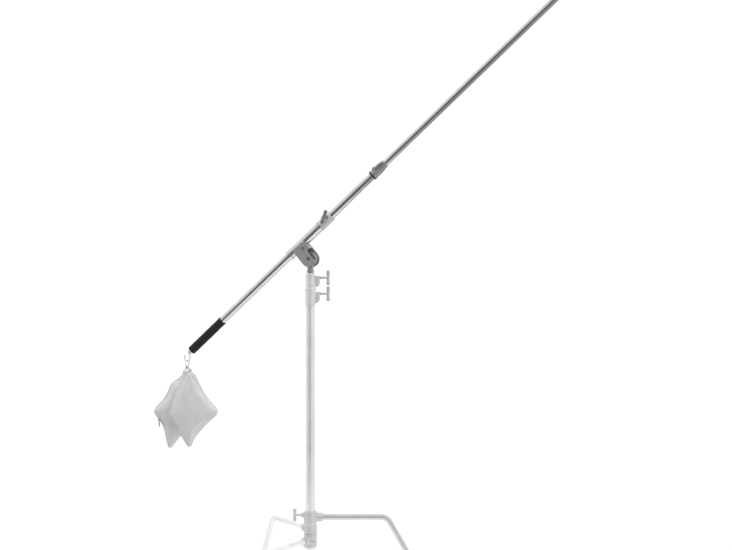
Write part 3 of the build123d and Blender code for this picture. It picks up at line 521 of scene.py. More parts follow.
def add_finishes(colours):
    """All node groups and materials, and the material of every CAD node."""
    for name, inputs, outputs, build in (
        ("Fine grain", {"Scale": 700.0}, ("Tone", "Height"), build_grain),
        ("Edge wear", {"Start": 0.53}, ("Mask",), build_wear),
        ("Long scuffs", {"Around": 900.0, "Along": 14.0}, ("Mask",), build_scuffs),
        ("Weave", {"Vector": None, "Threads": 1200.0}, ("Height", "Tone"), build_weave),
        ("Settled dust", {"Amount": 0.1}, ("Mask",), build_dust),
    ):
        shader_group(name, inputs, outputs, build)
    metal("chrome_boom", colours.boom_chrome, (0.14, 0.22), bump=0.015, scuffs=0.25, dust=0.05)
    metal("chrome_stand", colours.stand_chrome, (0.32, 0.4), 0.6, bump=0.02, scuffs=0.2, dust=0.08)
    # The top leg's chrome is the stand chrome painted darker: painted shade on one of three like legs.
    leg_chrome_painted_shade, clamp_metal = shaded(colours.stand_chrome, 0.7), shaded(colours.head_casting, 1.45)
    metal("chrome_leg_painted_shade", leg_chrome_painted_shade, (0.26, 0.34), 0.9, bump=0.02, scuffs=0.2, dust=0.08)
    metal("pale_plate", shaded(colours.stand_chrome, 0.95), (0.35, 0.45), 0.35, dust=0.05)
    metal("cast_stand", colours.stand_casting, (0.4, 0.52), 0.45, grain=1400.0, bump=0.3, wear=0.4)
    metal("cast_head", colours.head_casting, (0.42, 0.56), 0.75, grain=1500.0, bump=0.4, wear=0.5)
    metal("lock_handles", colours.stand_handles, (0.4, 0.5), 0.4, grain=1400.0, bump=0.2, wear=0.4)
    metal("clamp_satin", clamp_metal, (0.38, 0.5), 0.35, grain=1500.0, bump=0.3, wear=0.4)
    metal("dark_handles", colours.dark_handles, (0.35, 0.5), 0.5, grain=1400.0, bump=0.25, wear=0.6)
    metal("dark_fasteners", (0.09, 0.09, 0.093), (0.35, 0.5), 0.5, wear=0.5)
    metal("bright_fasteners", (0.7, 0.7, 0.71), (0.18, 0.3), wear=0.3)
    metal("turned_steel", (0.68, 0.68, 0.69), (0.16, 0.26), scuffs=0.3)
    metal("brass", (0.72, 0.52, 0.22), (0.25, 0.38), wear=0.3)
    moulded("nylon", (0.8, 0.79, 0.74), (0.45, 0.6), sheen=0.1)
    moulded("fibre", (0.15, 0.148, 0.146), (0.6, 0.75))
    moulded("black_plastic", (0.025, 0.025, 0.027), (0.35, 0.5))
    moulded("foam", colours.foam, (0.82, 0.96), grain=1500.0, bump=0.6, sheen=0.15, dust=0.02)
    moulded("foot_rubber", (0.03, 0.03, 0.03), (0.6, 0.78), bump=0.35)
    moulded("sand", (0.6, 0.5, 0.36), (0.85, 0.95), grain=2500.0, bump=0.6)
    woven("bag_fabric", colours.bag, 1100.0, False)
    woven("webbing", colours.webbing, 620.0, True, 0.5)
    moulded("thread", shaded(colours.webbing, 0.86), (0.6, 0.75), grain=3000.0)
    for obj in frame["nodes"].values():
        slot = obj.data.materials[0].name.split(".")[0]
        obj["finish_slot"] = slot
        obj.data.materials[0] = bpy.data.materials[slot]
    # The friction washers, nylon in their CAD slot, get the dark fibre material: painted shade for the shaded
    # gap between the head's cheeks.
    frame["nodes"]["tilt_friction_washers"].data.materials[0] = bpy.data.materials["fibre"]


# ---------------------------------------------------------------- tubes, legs and feet
def add_tube(line, node, name, lip, facets):
    """A tube as a closed profile round its line: bore, end, outside, end, with rolled lips."""
    low, high, bore, outer = line.span(node)
    profile = rounded([(bore, low), (outer, low), (outer, high), (bore, high)], lip, closed=True)
    return new_piece(name, lathe(line, profile, facets, closed=True), body_of(node), slot_of(node), [node])


def add_tubes(sizes):
    add_tube(COLUMN, "column_tube", "column_chromed", sizes.tube_lip, sizes.facets)
    add_tube(COLUMN, "lower_riser_tube", "lower_riser_chromed", sizes.tube_lip, sizes.facets)
    add_tube(COLUMN, "upper_riser_tube", "upper_riser_chromed", sizes.tube_lip, sizes.facets)
    add_tube(BOOM, "boom_tube", "boom_chromed", sizes.tube_lip, sizes.facets)
    add_tube(BOOM, "extension_tube", "extension_chromed", sizes.tube_lip, sizes.facets)


LEGS = {"bottom_leg": 240.0, "middle_leg": 120.0, "top_leg": 0.0}
LEG_SLOPE = np.radians(60.0)
LEG_RADIUS = 11 * MM


def leg_lines(leg):
    """The leg's outward direction, its level height, and how far out its slanted run meets the floor."""
    azimuth = np.radians(LEGS[leg])
    outwards = np.array([np.cos(azimuth), np.sin(azimuth), 0.0])
    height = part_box(leg)[1].z - LEG_RADIUS
    foot = node_points(leg + "_foot")
    sole = foot[foot[:, 2] < 1e-5] @ outwards
    return outwards, height, (sole.min() + sole.max()) / 2


def add_leg(leg, sizes):
    """A bent tube: one circle carried along a level run, an arc and a slant, with round domed ends."""
    outwards, height, reach = leg_lines(leg)
    up = np.array([0.0, 0.0, 1.0])
    run = reach - height / np.tan(LEG_SLOPE)
    start = (node_points(leg) @ outwards).min()
    end_gap = 12 * MM
    corners = [
        outwards * start + up * height,
        outwards * run + up * height,
        outwards * (reach - end_gap * np.cos(LEG_SLOPE)) + up * end_gap * np.sin(LEG_SLOPE),
    ]
    path = with_dome(bent_path(corners, 40 * MM, 28), 1.5 * MM)
    across = np.cross(outwards, up)
    tube = swept(path, oval(22 * MM, 22 * MM, sizes.facets), across, dome=1.5 * MM)
    # Only the top leg gets the darker copy of the stand chrome: painted shade.
    finish = "chrome_leg_painted_shade" if leg == "top_leg" else None
    new_piece(leg + "_chromed", tube, body_of(leg), slot_of(leg), [leg], material=finish)


def add_foot(leg):
    """A ribbed boot turned round the leg's slant; whatever would pass the floor slides back up to it."""
    outwards, _, reach = leg_lines(leg)
    slant = outwards * np.cos(LEG_SLOPE) - np.array([0, 0, 1.0]) * np.sin(LEG_SLOPE)
    line = Line(outwards * reach, slant)
    corners = [(0, -12), (11.02, -12), (11.02, -36), (12.2, -36), (12.5, -33.5), (12.5, -31), (11.75, -30)]
    for top in (-28.0, -23.5, -19.0):
        corners += [(11.75, top), (12.5, top + 0.8), (12.5, top + 2.4), (11.75, top + 3.2)]
    corners += [(12.5, -13.5), (12.5, 22), (0, 22)]
    profile = rounded(np.array(corners) * MM, 0.5 * MM, 4)
    points, faces, uv = lathe(line, profile, 48)
    past = np.clip(-points[:, 2], 0, None) / np.sin(LEG_SLOPE)
    points = points - slant * past[:, None]
    foot = leg + "_foot"
    new_piece(foot + "_ribbed", (points, faces, uv), body_of(foot), slot_of(foot), [foot])


# ---------------------------------------------------------------- castings, handles and screws
CASTINGS = {
    "bottom_leg_socket": (0.9, 5),
    "middle_leg_socket": (0.9, 5),
    "top_leg_socket": (0.9, 5),
    "column_collar": (0.85, 5),
    "riser_collar": (0.85, 5),
    "head_stem": (0.75, 4),
    "head_bracket": (1.15, 4),
    "boom_clamp_collar": (0.85, 4),
    "extension_collar": (0.8, 4),
    "boom_end_plug": (0.5, 3),
    "weight_hook": (0.42, 4),
}
# castings whose finish is lighter than their slot's
CAST_MATERIALS = {
    "column_collar": "pale_plate",
    "riser_collar": "pale_plate",
    "boom_clamp_collar": "clamp_satin",
    "boom_end_plug": "pale_plate",
    "weight_hook": "pale_plate",
}
HANDLES = {
    "base_lock_handle": (0.6, 4),
    "column_lock_handle": (0.6, 4),
    "riser_lock_handle": (0.6, 4),
    "boom_lock_handle": (0.6, 4),
    "tilt_lock_lever": (0.6, 5),
    "extension_lock_lever": (0.4, 4),
}


def add_head_sleeve():
    """The plated skin of the head's sleeve, with a raised band at both of its ends."""
    low, high, _, _ = BOOM.span("head_bracket")
    bore, skin, band = 16.6 * MM, 18.8 * MM, 20.3 * MM
    low, high, band_length = low - 0.2 * MM, high + 0.2 * MM, 10 * MM
    rows = [(bore, low), (band, low), (band, low + band_length), (skin, low + band_length + 0.6 * MM)]
    rows += [(skin, high - band_length - 0.6 * MM), (band, high - band_length), (band, high), (bore, high)]
    shape = lathe(BOOM, rounded(rows, 0.7 * MM, closed=True), 128, closed=True)
    new_piece("head_sleeve_chromed", shape, body_of("head_bracket"), slot_of("boom_tube"))


def knurl(angle):
    """1 - 0.035 * |sin(18 angle)|: fine grooves round a screw's head."""
    return 1 - 0.035 * np.abs(np.sin(18 * angle))


def hexagon(angle):
    """cos(30 degrees) / cos(angle within a sixth turn - 30 degrees): a circle's factor to a hexagon."""
    return np.cos(np.pi / 6) / np.cos(angle % (np.pi / 3) - np.pi / 6)


def flutes(count, depth):
    """1 - depth * max(0, cos(count * angle)) ^ 3: rounded hollows round a knob or a nut."""
    return lambda angle: 1 - depth * np.clip(np.cos(count * angle), 0, 1) ** 3


def add_socket_screw(
    node, line, head_radius, head_low, head_high, shank_radius, shank_low, side_factor, material=None
):
    """A screw as one profile: shank, knurled head with a chamfer, and a six-sided socket."""
    socket = head_radius * 0.56
    depth = head_high - (head_high - head_low) * 0.6
    bevel = min(0.6 * MM, head_radius * 0.1)
    rows = [
        (0, shank_low, 0, 0),
        (shank_radius, shank_low, 0, 0),
        (shank_radius, head_low, 0, 0),
        (head_radius * 0.97, head_low, 0, 0),
        (head_radius, head_low + bevel, 1, 0),
        (head_radius, head_high - bevel * 1.4, 1, 0),
        (head_radius - bevel, head_high, 0, 0),
        (socket * 1.08, head_high, 0, 1),
        (socket, head_high - 0.3 * MM, 0, 1),
        (socket, depth, 0, 1),
        (0, depth - 0.4 * MM, 0, 1),
    ]
    shape = lathe(line, rows, 72, (side_factor, hexagon))
    new_piece(node + "_turned", shape, body_of(node), slot_of(node), [node], 30.0, material)


def add_fasteners():
    line = Line(joint("boom_tilt")["pos_m"], TILT_AXIS)
    low, high, _, radius = line.span("tilt_pivot_bolt")
    add_socket_screw(
        "tilt_pivot_bolt", line, radius, high - 5 * MM, high, 6 * MM, low, lambda a: 1 + 0 * a, "dark_handles"
    )
    points = node_points("saddle_screw")
    outermost = points[(points @ TILT_AXIS) > (points @ TILT_AXIS).max() - 1e-5]
    line = Line(outermost.mean(0), TILT_AXIS)
    line.origin = line.origin - TILT_AXIS * (line.origin @ TILT_AXIS)
    low, high, _, radius = line.span("saddle_screw")
    add_socket_screw("saddle_screw", line, radius, high - 6 * MM, high, 3 * MM, low, knurl, "dark_handles")
    azimuth = np.radians(300.0)
    outwards = np.array([np.cos(azimuth), np.sin(azimuth), 0.0])
    screw_low, screw_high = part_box("hub_set_screw")
    line = Line((0, 0, (screw_low.z + screw_high.z) / 2), outwards)
    low, high, _, radius = line.span("hub_set_screw")
    add_socket_screw("hub_set_screw", line, radius, high - 7 * MM, high, 4 * MM, low, knurl, "cast_stand")

    line = Line(joint("head_lock_turn")["pos_m"], joint("head_lock_turn")["axis"])
    low, high, _, radius = line.span("head_lock_screw")
    knob = high - 12 * MM
    rows = rounded(
        [
            (0, low, 0),
            (3 * MM, low, 0),
            (3 * MM, knob - 1 * MM, 0),
            (5.2 * MM, knob - 0.2 * MM, 0),
            (radius * 0.96, knob + 0.4 * MM, 0.6),
            (radius, knob + 2 * MM, 1),
            (radius, high - 2 * MM, 1),
            (radius * 0.82, high, 0.5),
            (3.2 * MM, high, 0),
            (2.6 * MM, high - 1.2 * MM, 0),
            (0, high - 1.4 * MM, 0),
        ],
        0.7 * MM,
    )
    shape = lathe(line, rows, 96, (flutes(8, 0.13),))
    new_piece("head_lock_screw_fluted", shape, "head_lock", slot_of("head_lock_screw"), ["head_lock_screw"])

    low, high, bore, radius = BOOM.span("extension_collar_ring")
    rows = [
        (bore, low, 0),
        (radius * 0.93, low, 0),
        (radius, low + 1.3 * MM, 1),
        (radius, high - 1.3 * MM, 1),
        (radius * 0.95, high, 0),
        (bore, high, 0),
    ]
    shape = lathe(BOOM, rounded(rows, 0.5 * MM, closed=True), 144, (flutes(24, 0.05),), closed=True)
    new_piece("extension_collar_ring_fluted", shape, "boom", "dark_fasteners", ["extension_collar_ring"])


def add_spigot_and_stud():
    """The riser's spigot and the boom's tip fitting: profiles with grooves, shoulders and chamfers."""
    low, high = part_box("riser_spigot")[0].z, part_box("riser_spigot")[1].z
    flange = low + 28 * MM
    rows = np.array(
        [
            (0, low),
            (10.98 * MM, low),
            (10.98 * MM, flange),
            (12.5 * MM, flange),
            (12.5 * MM, flange + 6 * MM),
            (8 * MM, flange + 6.4 * MM),
            (8 * MM, flange + 9 * MM),
            (6.5 * MM, flange + 9.6 * MM),
            (6.5 * MM, flange + 16.4 * MM),
            (8 * MM, flange + 17 * MM),
            (8 * MM, high - 1.5 * MM),
            (6.5 * MM, high),
            (0, high),
        ]
    )
    shape = lathe(COLUMN, rounded(rows, 0.4 * MM), 72)
    new_piece("riser_spigot_turned", shape, "upper_riser", slot_of("riser_spigot"), ["riser_spigot"])
    low, high, _, radius = BOOM.span("tip_stud")
    shoulder = high - 42 * MM
    rows = np.array(
        [
            (0, low),
            (10.98 * MM, low),
            (10.98 * MM, shoulder),
            (radius, shoulder),
            (radius, shoulder + 6 * MM),
            (10 * MM, shoulder + 8 * MM),
            (8 * MM, shoulder + 8.2 * MM),
            (8 * MM, shoulder + 14 * MM),
            (6.4 * MM, shoulder + 14.8 * MM),
            (6.4 * MM, shoulder + 22 * MM),
            (8 * MM, shoulder + 22.8 * MM),
            (8 * MM, high - 1.2 * MM),
            (6.8 * MM, high),
            (4.2 * MM, high),
            (3.2 * MM, high - 1.2 * MM),
            (0, high - 1.6 * MM),
        ]
    )
    shape = lathe(BOOM, rounded(rows, 0.4 * MM), 72)
    new_piece("tip_stud_turned", shape, "extension", slot_of("tip_stud"), ["tip_stud"])


# ---------------------------------------------------------------- grip, ring and hook
def add_grip(sizes):
    """The foam sleeve: a closed profile whose outer radius is pressed in a little by three slow waves, with
    round pinched ends; round the axis two more waves make it slightly uneven by hand and use."""
    low, high, bore, outer = BOOM.span("foam_grip")
    along = np.linspace(low + 3 * MM, high - 3 * MM, 60)
    share = (along - low) / (high - low)
    radius = outer - sizes.foam_dent * (0.5 + 0.5 * np.sin(9.1 * share) * np.sin(23.0 * share + 1.3))
    ends = [(bore, low + 0.4 * MM), (outer * 0.93, low), (outer * 0.985, low + 1.2 * MM)]
    tail = [(outer * 0.985, high - 1.2 * MM), (outer * 0.93, high), (bore, high - 0.4 * MM)]
    profile = np.concatenate([ends, np.stack([radius, along], axis=1), tail])
    weights = np.where(profile[:, :1] > outer * 0.95, 1.0, 0.0)
    shape = lathe(
        BOOM,
        np.concatenate([profile, weights], axis=1),
        72,
        (lambda angle: 1 - 0.006 * (0.5 + 0.5 * np.sin(3 * angle + 0.4)),),
        closed=True,
    )
    grip = new_piece("foam_grip_sleeve", shape, "boom", "foam", ["foam_grip"])


def add_ring():
    """A round wire carried round the ring's axis, with a faint swelling where its ends are welded."""
    line = Line(RING_CENTRE, HEADING)
    wire, radius = 2.25 * MM, 14 * MM
    around = np.linspace(0, 2 * np.pi, 20, endpoint=False)
    turn = np.linspace(0, 2 * np.pi, 96, endpoint=False)[:, None]
    weld = 1 + 0.07 * np.exp(-(((turn - np.pi * 0.5) / 0.12) ** 2))
    reach = radius + wire * weld * np.cos(around)[None, :]
    depth = wire * weld * np.sin(around)[None, :]
    shape = surface(line.at(reach * np.cos(turn), reach * np.sin(turn), depth), True, True)
    new_piece("sandbag_ring_welded", shape, "sandbag", slot_of("sandbag_ring"), ["sandbag_ring"],
              material="pale_plate")


# ---------------------------------------------------------------- sandbag
FRONT_OUTLINE = np.array(
    [(2, -24), (26, -20), (84, -118), (137, -189), (83, -240)]
    + [(36, -292), (13, -342), (-23, -284), (-70, -200), (-44, -110)]
)
REAR_OUTLINE = np.array(
    [(12, -24), (-14, -21), (-40, -58), (-68, -66), (-95, -127)]
    + [(-149, -190), (-106, -255), (-80, -354), (-23, -284), (20, -220)]
)
POUCH_TOP = 912 * MM
FILLING_FRAMES = 20
FLAT_SHARE = 0.3  # how much of the filled cloth's movement in its own plane is kept


def pouch_rim(outline, inset=0.0, count=220):
    """The pouch's cut edge: the outline with round corners, spaced evenly, moved in towards the middle."""
    place = np.array([RING_CENTRE[0], POUCH_TOP])
    loop = evenly(rounded(outline * MM + place, 7 * MM, 8, closed=True), count, closed=True)
    return loop - unit(loop - loop.mean(0)) * inset


def pouch_grid(rim, middle, thickness):
    """Rows run round the rim, columns from the front's middle over the rim to the back's middle: the rim is
    scaled by sin(v), and the depth is half the thickness * cos(v) ^ 0.7 * a fullness that grows downwards."""
    v = np.linspace(0, np.pi, 33)
    centre = rim.mean(0)
    flat = centre + (rim - centre)[:, None] * np.sin(v)[None, :, None]
    top, bottom = rim[:, 1].max(), rim[:, 1].min()
    drop = np.clip((top - flat[..., 1]) / (top - bottom), 0, 1)
    fullness = 0.4 + 0.6 * np.sin(np.pi * np.clip(drop * 0.95, 0, 1)) ** 0.8
    bulge = np.sign(np.cos(v)) * np.abs(np.cos(v)) ** 0.7
    depth = middle - thickness / 2 * bulge[None, :] * fullness
    return surface(np.stack([flat[..., 0], depth, flat[..., 1]], axis=2), True, False)


def mesh_points(mesh, what="co"):
    values = np.empty(len(mesh.vertices) * 3, np.float32)
    (mesh.vertices if what == "co" else mesh.vertex_normals).foreach_get(
        "co" if what == "co" else "vector", values
    )
    return values.reshape(-1, 3).astype(float)


def set_points(mesh, points):
    mesh.vertices.foreach_set("co", points.astype(np.float32).ravel())
    mesh.update()


def inflate(obj, sizes):
    """Fills the pouch: cloth under pressure. Each point stays within the largest swell, and
    the sewn edge keeps most of its flat outline."""
    start = mesh_points(obj.data)
    cloth = obj.modifiers.new("filling", "CLOTH")
    cloth.settings.quality = 5
    cloth.settings.mass = 0.25
    cloth.settings.tension_stiffness = 30
    cloth.settings.compression_stiffness = 30
    cloth.settings.bending_stiffness = 0.3
    cloth.settings.use_pressure = True
    cloth.settings.uniform_pressure_force = sizes.fill_pressure
    cloth.settings.effector_weights.gravity = 0.0
    scene = bpy.context.scene
    for step in range(1, FILLING_FRAMES + 1):
        scene.frame_set(step)
    filled = rebuilt(obj)
    obj.modifiers.clear()
    moved = (mesh_points(filled) - start) * (FLAT_SHARE, 1.0, FLAT_SHARE)
    length = np.linalg.norm(moved, axis=1, keepdims=True)
    held = moved * np.minimum(1, sizes.swell / np.maximum(length, 1e-9))
    obj.data = filled
    set_points(obj.data, start + held)
    scene.frame_set(1)


def rim_distance(points, rim):
    """For each point, its flat distance to the rim and how far round the rim the nearest place is."""
    travelled = np.append(0, np.cumsum(np.linalg.norm(np.diff(rim, axis=0), axis=1)))
    gap = np.linalg.norm(points[:, None, :] - rim[None, :, :], axis=2)
    nearest = gap.argmin(1)
    return gap[np.arange(len(points)), nearest], travelled[nearest]


def crease(obj, rim, sizes):
    """Moves the cloth along its normals: puckers sin(place round the rim) that fade away from the seam, and
    folds sin(angle about the strap) that fade downwards from it, strongest in the slack upper half."""
    points, normals = mesh_points(obj.data), mesh_points(obj.data, "normal")
    flat = points[:, [0, 2]]
    distance, place = rim_distance(flat, rim)
    pucker = np.sin(place * 2 * np.pi / sizes.pucker_length) * np.exp(-distance / (14 * MM))
    strap = np.array([RING_CENTRE[0], POUCH_TOP - 8 * MM])
    offset = flat - strap
    far = np.linalg.norm(offset, axis=1)
    angle = np.arctan2(offset[:, 0], -offset[:, 1])
    folds = np.sin(13 * angle + 2.2 * np.sin(far / (45 * MM))) * np.exp(-far / (110 * MM))
    folds = folds * np.clip(far / (40 * MM), 0, 1) * np.clip(distance / (12 * MM), 0, 1)
    slow = np.sin(flat[:, 0] / (31 * MM) + 1.1) * np.sin(flat[:, 1] / (38 * MM))
    lift = sizes.pucker_depth * pucker + sizes.fold_depth * folds + 1.2 * MM * slow
    set_points(obj.data, points + normals * lift[:, None])


def seam_path(obj, rim, middle):
    """The line where the pouch's two panels meet: the cloth's point nearest each place on the rim,
    averaged with its neighbours round the loop."""
    points = mesh_points(obj.data)
    wanted = np.stack([rim[:, 0], np.full(len(rim), middle), rim[:, 1]], axis=1)
    weight = np.array([1.0, 1.6, 1.0])
    gap = np.linalg.norm((wanted[:, None] - points[None]) * weight, axis=2)
    line = points[gap.argmin(1)]
    for shift in (1, 2, 3):
        line = (line + np.roll(line, shift, 0) + np.roll(line, -shift, 0)) / 3
    return line


def stitch_humps(places, directions, normals, length, thick):
    """Many small thread humps: one closed shape of 5 by 6 corners, placed at every stitch by its direction,
    its normal and their cross product."""
    along = np.linspace(-0.5, 0.5, 5)
    around = np.linspace(0, 2 * np.pi, 6, endpoint=False)
    girth = thick / 2 * np.sqrt(np.clip(1 - (2 * along) ** 2, 0, 1))
    x = np.repeat(along * length, 6)
    y = (girth[:, None] * np.cos(around)).ravel()
    z = (girth[:, None] * np.sin(around) + (thick * 0.35 * (1 - (2 * along) ** 2))[:, None]).ravel()
    sides = np.cross(normals, directions)
    points = (
        places[:, None]
        + x[None, :, None] * directions[:, None]
        + y[None, :, None] * sides[:, None]
        + z[None, :, None] * normals[:, None]
    )
    _, faces, uv = surface(points[0].reshape(5, 6, 3), False, True)
    count = len(places)
    all_faces = faces[None] + (np.arange(count) * 30)[:, None, None]
    shape = (points.reshape(-1, 3), all_faces.reshape(-1, 4), np.tile(uv, (count, 1)))
    return shape


def stitches_on(obj, flat_line, facing, spacing, length, thick):
    """Stitches along a flat line laid on the cloth's side that faces one way."""
    points, normals = mesh_points(obj.data), mesh_points(obj.data, "normal")
    keep = normals[:, 1] * facing > 0.15
    points, normals = points[keep], normals[keep]
    total = np.linalg.norm(np.diff(flat_line, axis=0), axis=1).sum()
    line = evenly(flat_line, max(4, int(total / spacing)))
    gap = np.linalg.norm(line[:, None] - points[None][..., [0, 2]], axis=2)
    nearest = np.argsort(gap, axis=1)[:, :4]
    depth = points[nearest, 1].mean(1)
    normal = unit(normals[nearest].mean(1))
    place = np.stack([line[:, 0], depth, line[:, 1]], axis=1) + normal * thick * 0.2
    direction = unit(np.gradient(place, axis=0))
    direction = unit(direction - np.sum(direction * normal, axis=1, keepdims=True) * normal)
    return stitch_humps(place, direction, normal, length, thick)


def add_pouch(side, outline, sizes):
    node = side + "_pouch"
    low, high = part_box(node)
    middle, depth = (low.y + high.y) / 2, high.y - low.y
    rim = pouch_rim(outline, 1 * MM)
    start = new_piece(
        side + "_bag", pouch_grid(rim, middle, depth - 2 * sizes.swell * 0.8), "sandbag", "bag_fabric",
        [node, side + "_sand"],
    )
    cells = start.modifiers.new("cells", "REMESH")
    cells.mode, cells.voxel_size = "VOXEL", sizes.cloth_cell
    start.data = rebuilt(start)
    start.modifiers.clear()
    inflate(start, sizes)
    finer = start.modifiers.new("finer", "SUBSURF")
    finer.levels = finer.render_levels = 1
    start.data = rebuilt(start)
    start.modifiers.clear()
    crease(start, rim, sizes)
    start.data.shade_smooth()
    start.data.materials.clear()
    start.data.materials.append(bpy.data.materials["bag_fabric"])

    seam = seam_path(start, rim, middle)
    outwards = unit(seam - seam.mean(0))
    tape = swept(seam, oval(3.2 * MM, 7 * MM, 14, 0.8), outwards, closed=True)
    new_piece(side + "_bag_seam", tape, "sandbag", "webbing")
    inner = rim.mean(0) + (rim - rim.mean(0)) * 0.9
    loop = np.concatenate([inner, inner[:1]])
    shapes = [stitches_on(start, loop, facing, 6 * MM, 4.2 * MM, 1.1 * MM) for facing in (-1, 1)]
    new_piece(side + "_bag_stitches", joined(*shapes), "sandbag", "webbing", material="thread")
    return start


def webbing_strip(path, across, width, thickness):
    """A flat strap: a nearly square-cornered oval section carried along a path with round ends."""
    path = with_dome(evenly(path, 48), thickness, 4)
    return swept(path, oval(thickness, width, 24, 0.35), across, dome=thickness)


def add_strap(sizes):
    """The bag's webbing: a loop sewn round the ring's lower side and a saddle that joins both pouches."""
    width, thick = sizes.strap_width, sizes.strap_thickness
    bottom = np.array([RING_CENTRE[0], RING_CENTRE[1], RING_CENTRE[2] - 14 * MM])
    up = np.array([0, 0, 1.0])
    bend = 2.25 * MM + thick * 0.6
    turn = np.linspace(0, np.pi, 15)
    arch = np.stack([-bend * np.cos(turn), bend * np.sin(turn)], axis=1)
    left = np.array([(-3.6 * MM, -17 * MM), (-bend, -6 * MM)])
    flat = np.concatenate([left, arch, left[::-1] * (-1, 1)])
    path = bottom + flat[:, :1] * HEADING + flat[:, 1:] * up
    loop = webbing_strip(path, TILT_AXIS, 15 * MM, thick)
    top = bottom[2] - 9 * MM
    low_front, high_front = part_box("front_pouch")
    low_rear, high_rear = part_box("rear_pouch")
    front, rear = (low_front.y + high_front.y) / 2, (low_rear.y + high_rear.y) / 2
    drop = POUCH_TOP - 30 * MM
    saddle = rounded(
        [(front - 3 * MM, drop), (front - 2 * MM, drop + 12 * MM), (bottom[1] - 10 * MM, top),
         (bottom[1] + 10 * MM, top), (rear + 2 * MM, drop + 12 * MM), (rear + 3 * MM, drop)],
        12 * MM, 8,
    )
    path = np.stack([np.full(len(saddle), bottom[0]), saddle[:, 0], saddle[:, 1]], axis=1)
    across = webbing_strip(path, (1, 0, 0), width, thick * 1.2)
    fold = webbing_strip(path - up * thick * 1.1, (1, 0, 0), width * 0.92, thick)
    new_piece("sandbag_strap_sewn", joined(loop, across, fold), "sandbag", "webbing", ["sandbag_strap"])
    places = np.linspace(-0.4, 0.4, 7) * width
    at = np.stack([bottom[0] + places, np.full(7, bottom[1]), np.full(7, top + thick * 0.7)], axis=1)
    rows = [at + np.array([0, shift, 0]) for shift in (-8 * MM, -4 * MM, 4 * MM, 8 * MM)]
    spots = np.concatenate(rows)
    count = len(spots)
    ways, normals = np.tile([1.0, 0, 0], (count, 1)), np.tile(up, (count, 1))
    shape = stitch_humps(spots, ways, normals, 2.6 * MM, 0.9 * MM)
    new_piece("sandbag_strap_stitches", shape, "sandbag", "webbing", material="thread")


def add_pull_tab():
    """A blank webbing pull sewn into the rear pouch's seam; it hangs straight down from it."""
    low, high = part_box("rear_pouch")
    middle = (low.y + high.y) / 2
    x = RING_CENTRE[0]
    path = np.array(
        [
            (x - 116 * MM, middle - 1 * MM, POUCH_TOP - 214 * MM),
            (x - 124 * MM, middle - 3 * MM, POUCH_TOP - 222 * MM),
            (x - 123 * MM, middle - 4 * MM, POUCH_TOP - 236 * MM),
            (x - 120 * MM, middle - 4 * MM, POUCH_TOP - 256 * MM),
        ]
    )
    path = rounded(path, 6 * MM, 6)
    shape = webbing_strip(path, (0.25, 1.0, 0.1), 12 * MM, 2.2 * MM)
    new_piece("sandbag_pull_tab", shape, "sandbag", "webbing")


# ---------------------------------------------------------------- stage
def add_stage(stage):
    scene = bpy.context.scene
    radius = np.linspace(0, stage.floor_radius, 12)[None, :]
    angle = np.linspace(0, 2 * np.pi, 96, endpoint=False)[:, None]
    points, faces, _ = surface(COLUMN.at(radius * np.cos(angle), radius * np.sin(angle), -0.0005), True)
    mesh = bpy.data.meshes.new("floor")
    mesh.from_pydata(points.tolist(), [], faces[:, ::-1].tolist())
    work = bmesh.new()
    work.from_mesh(mesh)
    bmesh.ops.remove_doubles(work, verts=work.verts, dist=1e-5)
    bmesh.ops.recalc_face_normals(work, faces=work.faces)
    work.to_mesh(mesh)
    work.free()
    floor = bpy.data.objects.new("floor", mesh)
    scene.collection.objects.link(floor)
    tree, shader = new_material("pale_floor", {"Roughness": 0.7})
    place = add_node(tree, "TexCoord").outputs["Object"]
    tone = ranged(tree, noise(tree, place, 3.0), 0.3, 0.7)
    put(tree, shader.inputs["Base Color"], mixed(tree, tone, (0.9, 0.9, 0.9), (0.93, 0.93, 0.93)))
    mesh.materials.append(bpy.data.materials["pale_floor"])

    world = bpy.data.worlds.new("studio")
    scene.world = world
    world.use_nodes = True
    tree = world.node_tree
    tree.nodes.clear()
    way = add_node(tree, "TexCoord").outputs["Generated"]
    axes = add_node(tree, "SeparateXYZ", {"Vector": way})
    upwards = ranged(tree, axes.outputs["Z"], -0.55, 0.35, stage.low_light, stage.side_light)
    towards = add_node(
        tree, "VectorMath", {0: way, 1: tuple(unit([-0.3, -0.92, -0.12]))}, operation="DOT_PRODUCT"
    ).outputs["Value"]
    flag = ranged(tree, towards, 0.66, 0.9)
    level = calculated(tree, "MULTIPLY", upwards, ranged(tree, flag, 0.0, 1.0, 1.0, stage.flag_level))
    shade = mixed(tree, flag, (1.0, 1.0, 1.0), (1.0, 0.985, 0.97))
    surroundings = add_node(tree, "Background", {"Color": shade, "Strength": level})
    backdrop = add_node(tree, "Background", {"Color": (1.0, 1.0, 1.0), "Strength": 1.05})
    seen = add_node(tree, "LightPath").outputs["Is Camera Ray"]
    both = add_node(tree, "MixShader", {0: seen, 1: surroundings.outputs[0], 2: backdrop.outputs[0]})
    add_node(tree, "OutputWorld", {"Surface": both.outputs[0]})

    for name, place, size, power in (
        ("soft_box_high", (-1.4, -0.9, 4.2), 2.6, stage.soft_box_power),
        ("soft_box_side", (3.6, -0.6, 2.2), 2.2, stage.soft_box_power * 0.45),
    ):
        light = bpy.data.lights.new(name, "AREA")
        light.energy, light.size = power, size
        lamp = bpy.data.objects.new(name, light)
        scene.collection.objects.link(lamp)
        lamp.location = place
        lamp.visible_glossy = False
        aim = Vector((0.1, 0.0, 1.2)) - lamp.location
        lamp.rotation_euler = aim.to_track_quat("-Z", "Y").to_euler()
    camera = bpy.data.objects.new("camera", bpy.data.cameras.new("camera"))
    scene.collection.objects.link(camera)
    camera.location = stage.camera_place
    camera.rotation_euler = (np.pi / 2, 0, 0)
    camera.data.lens = stage.camera_lens
    camera.data.sensor_width = 36.0
    camera.data.clip_end = 100.0
    scene.camera = camera
    scene.view_settings.view_transform = "Standard"


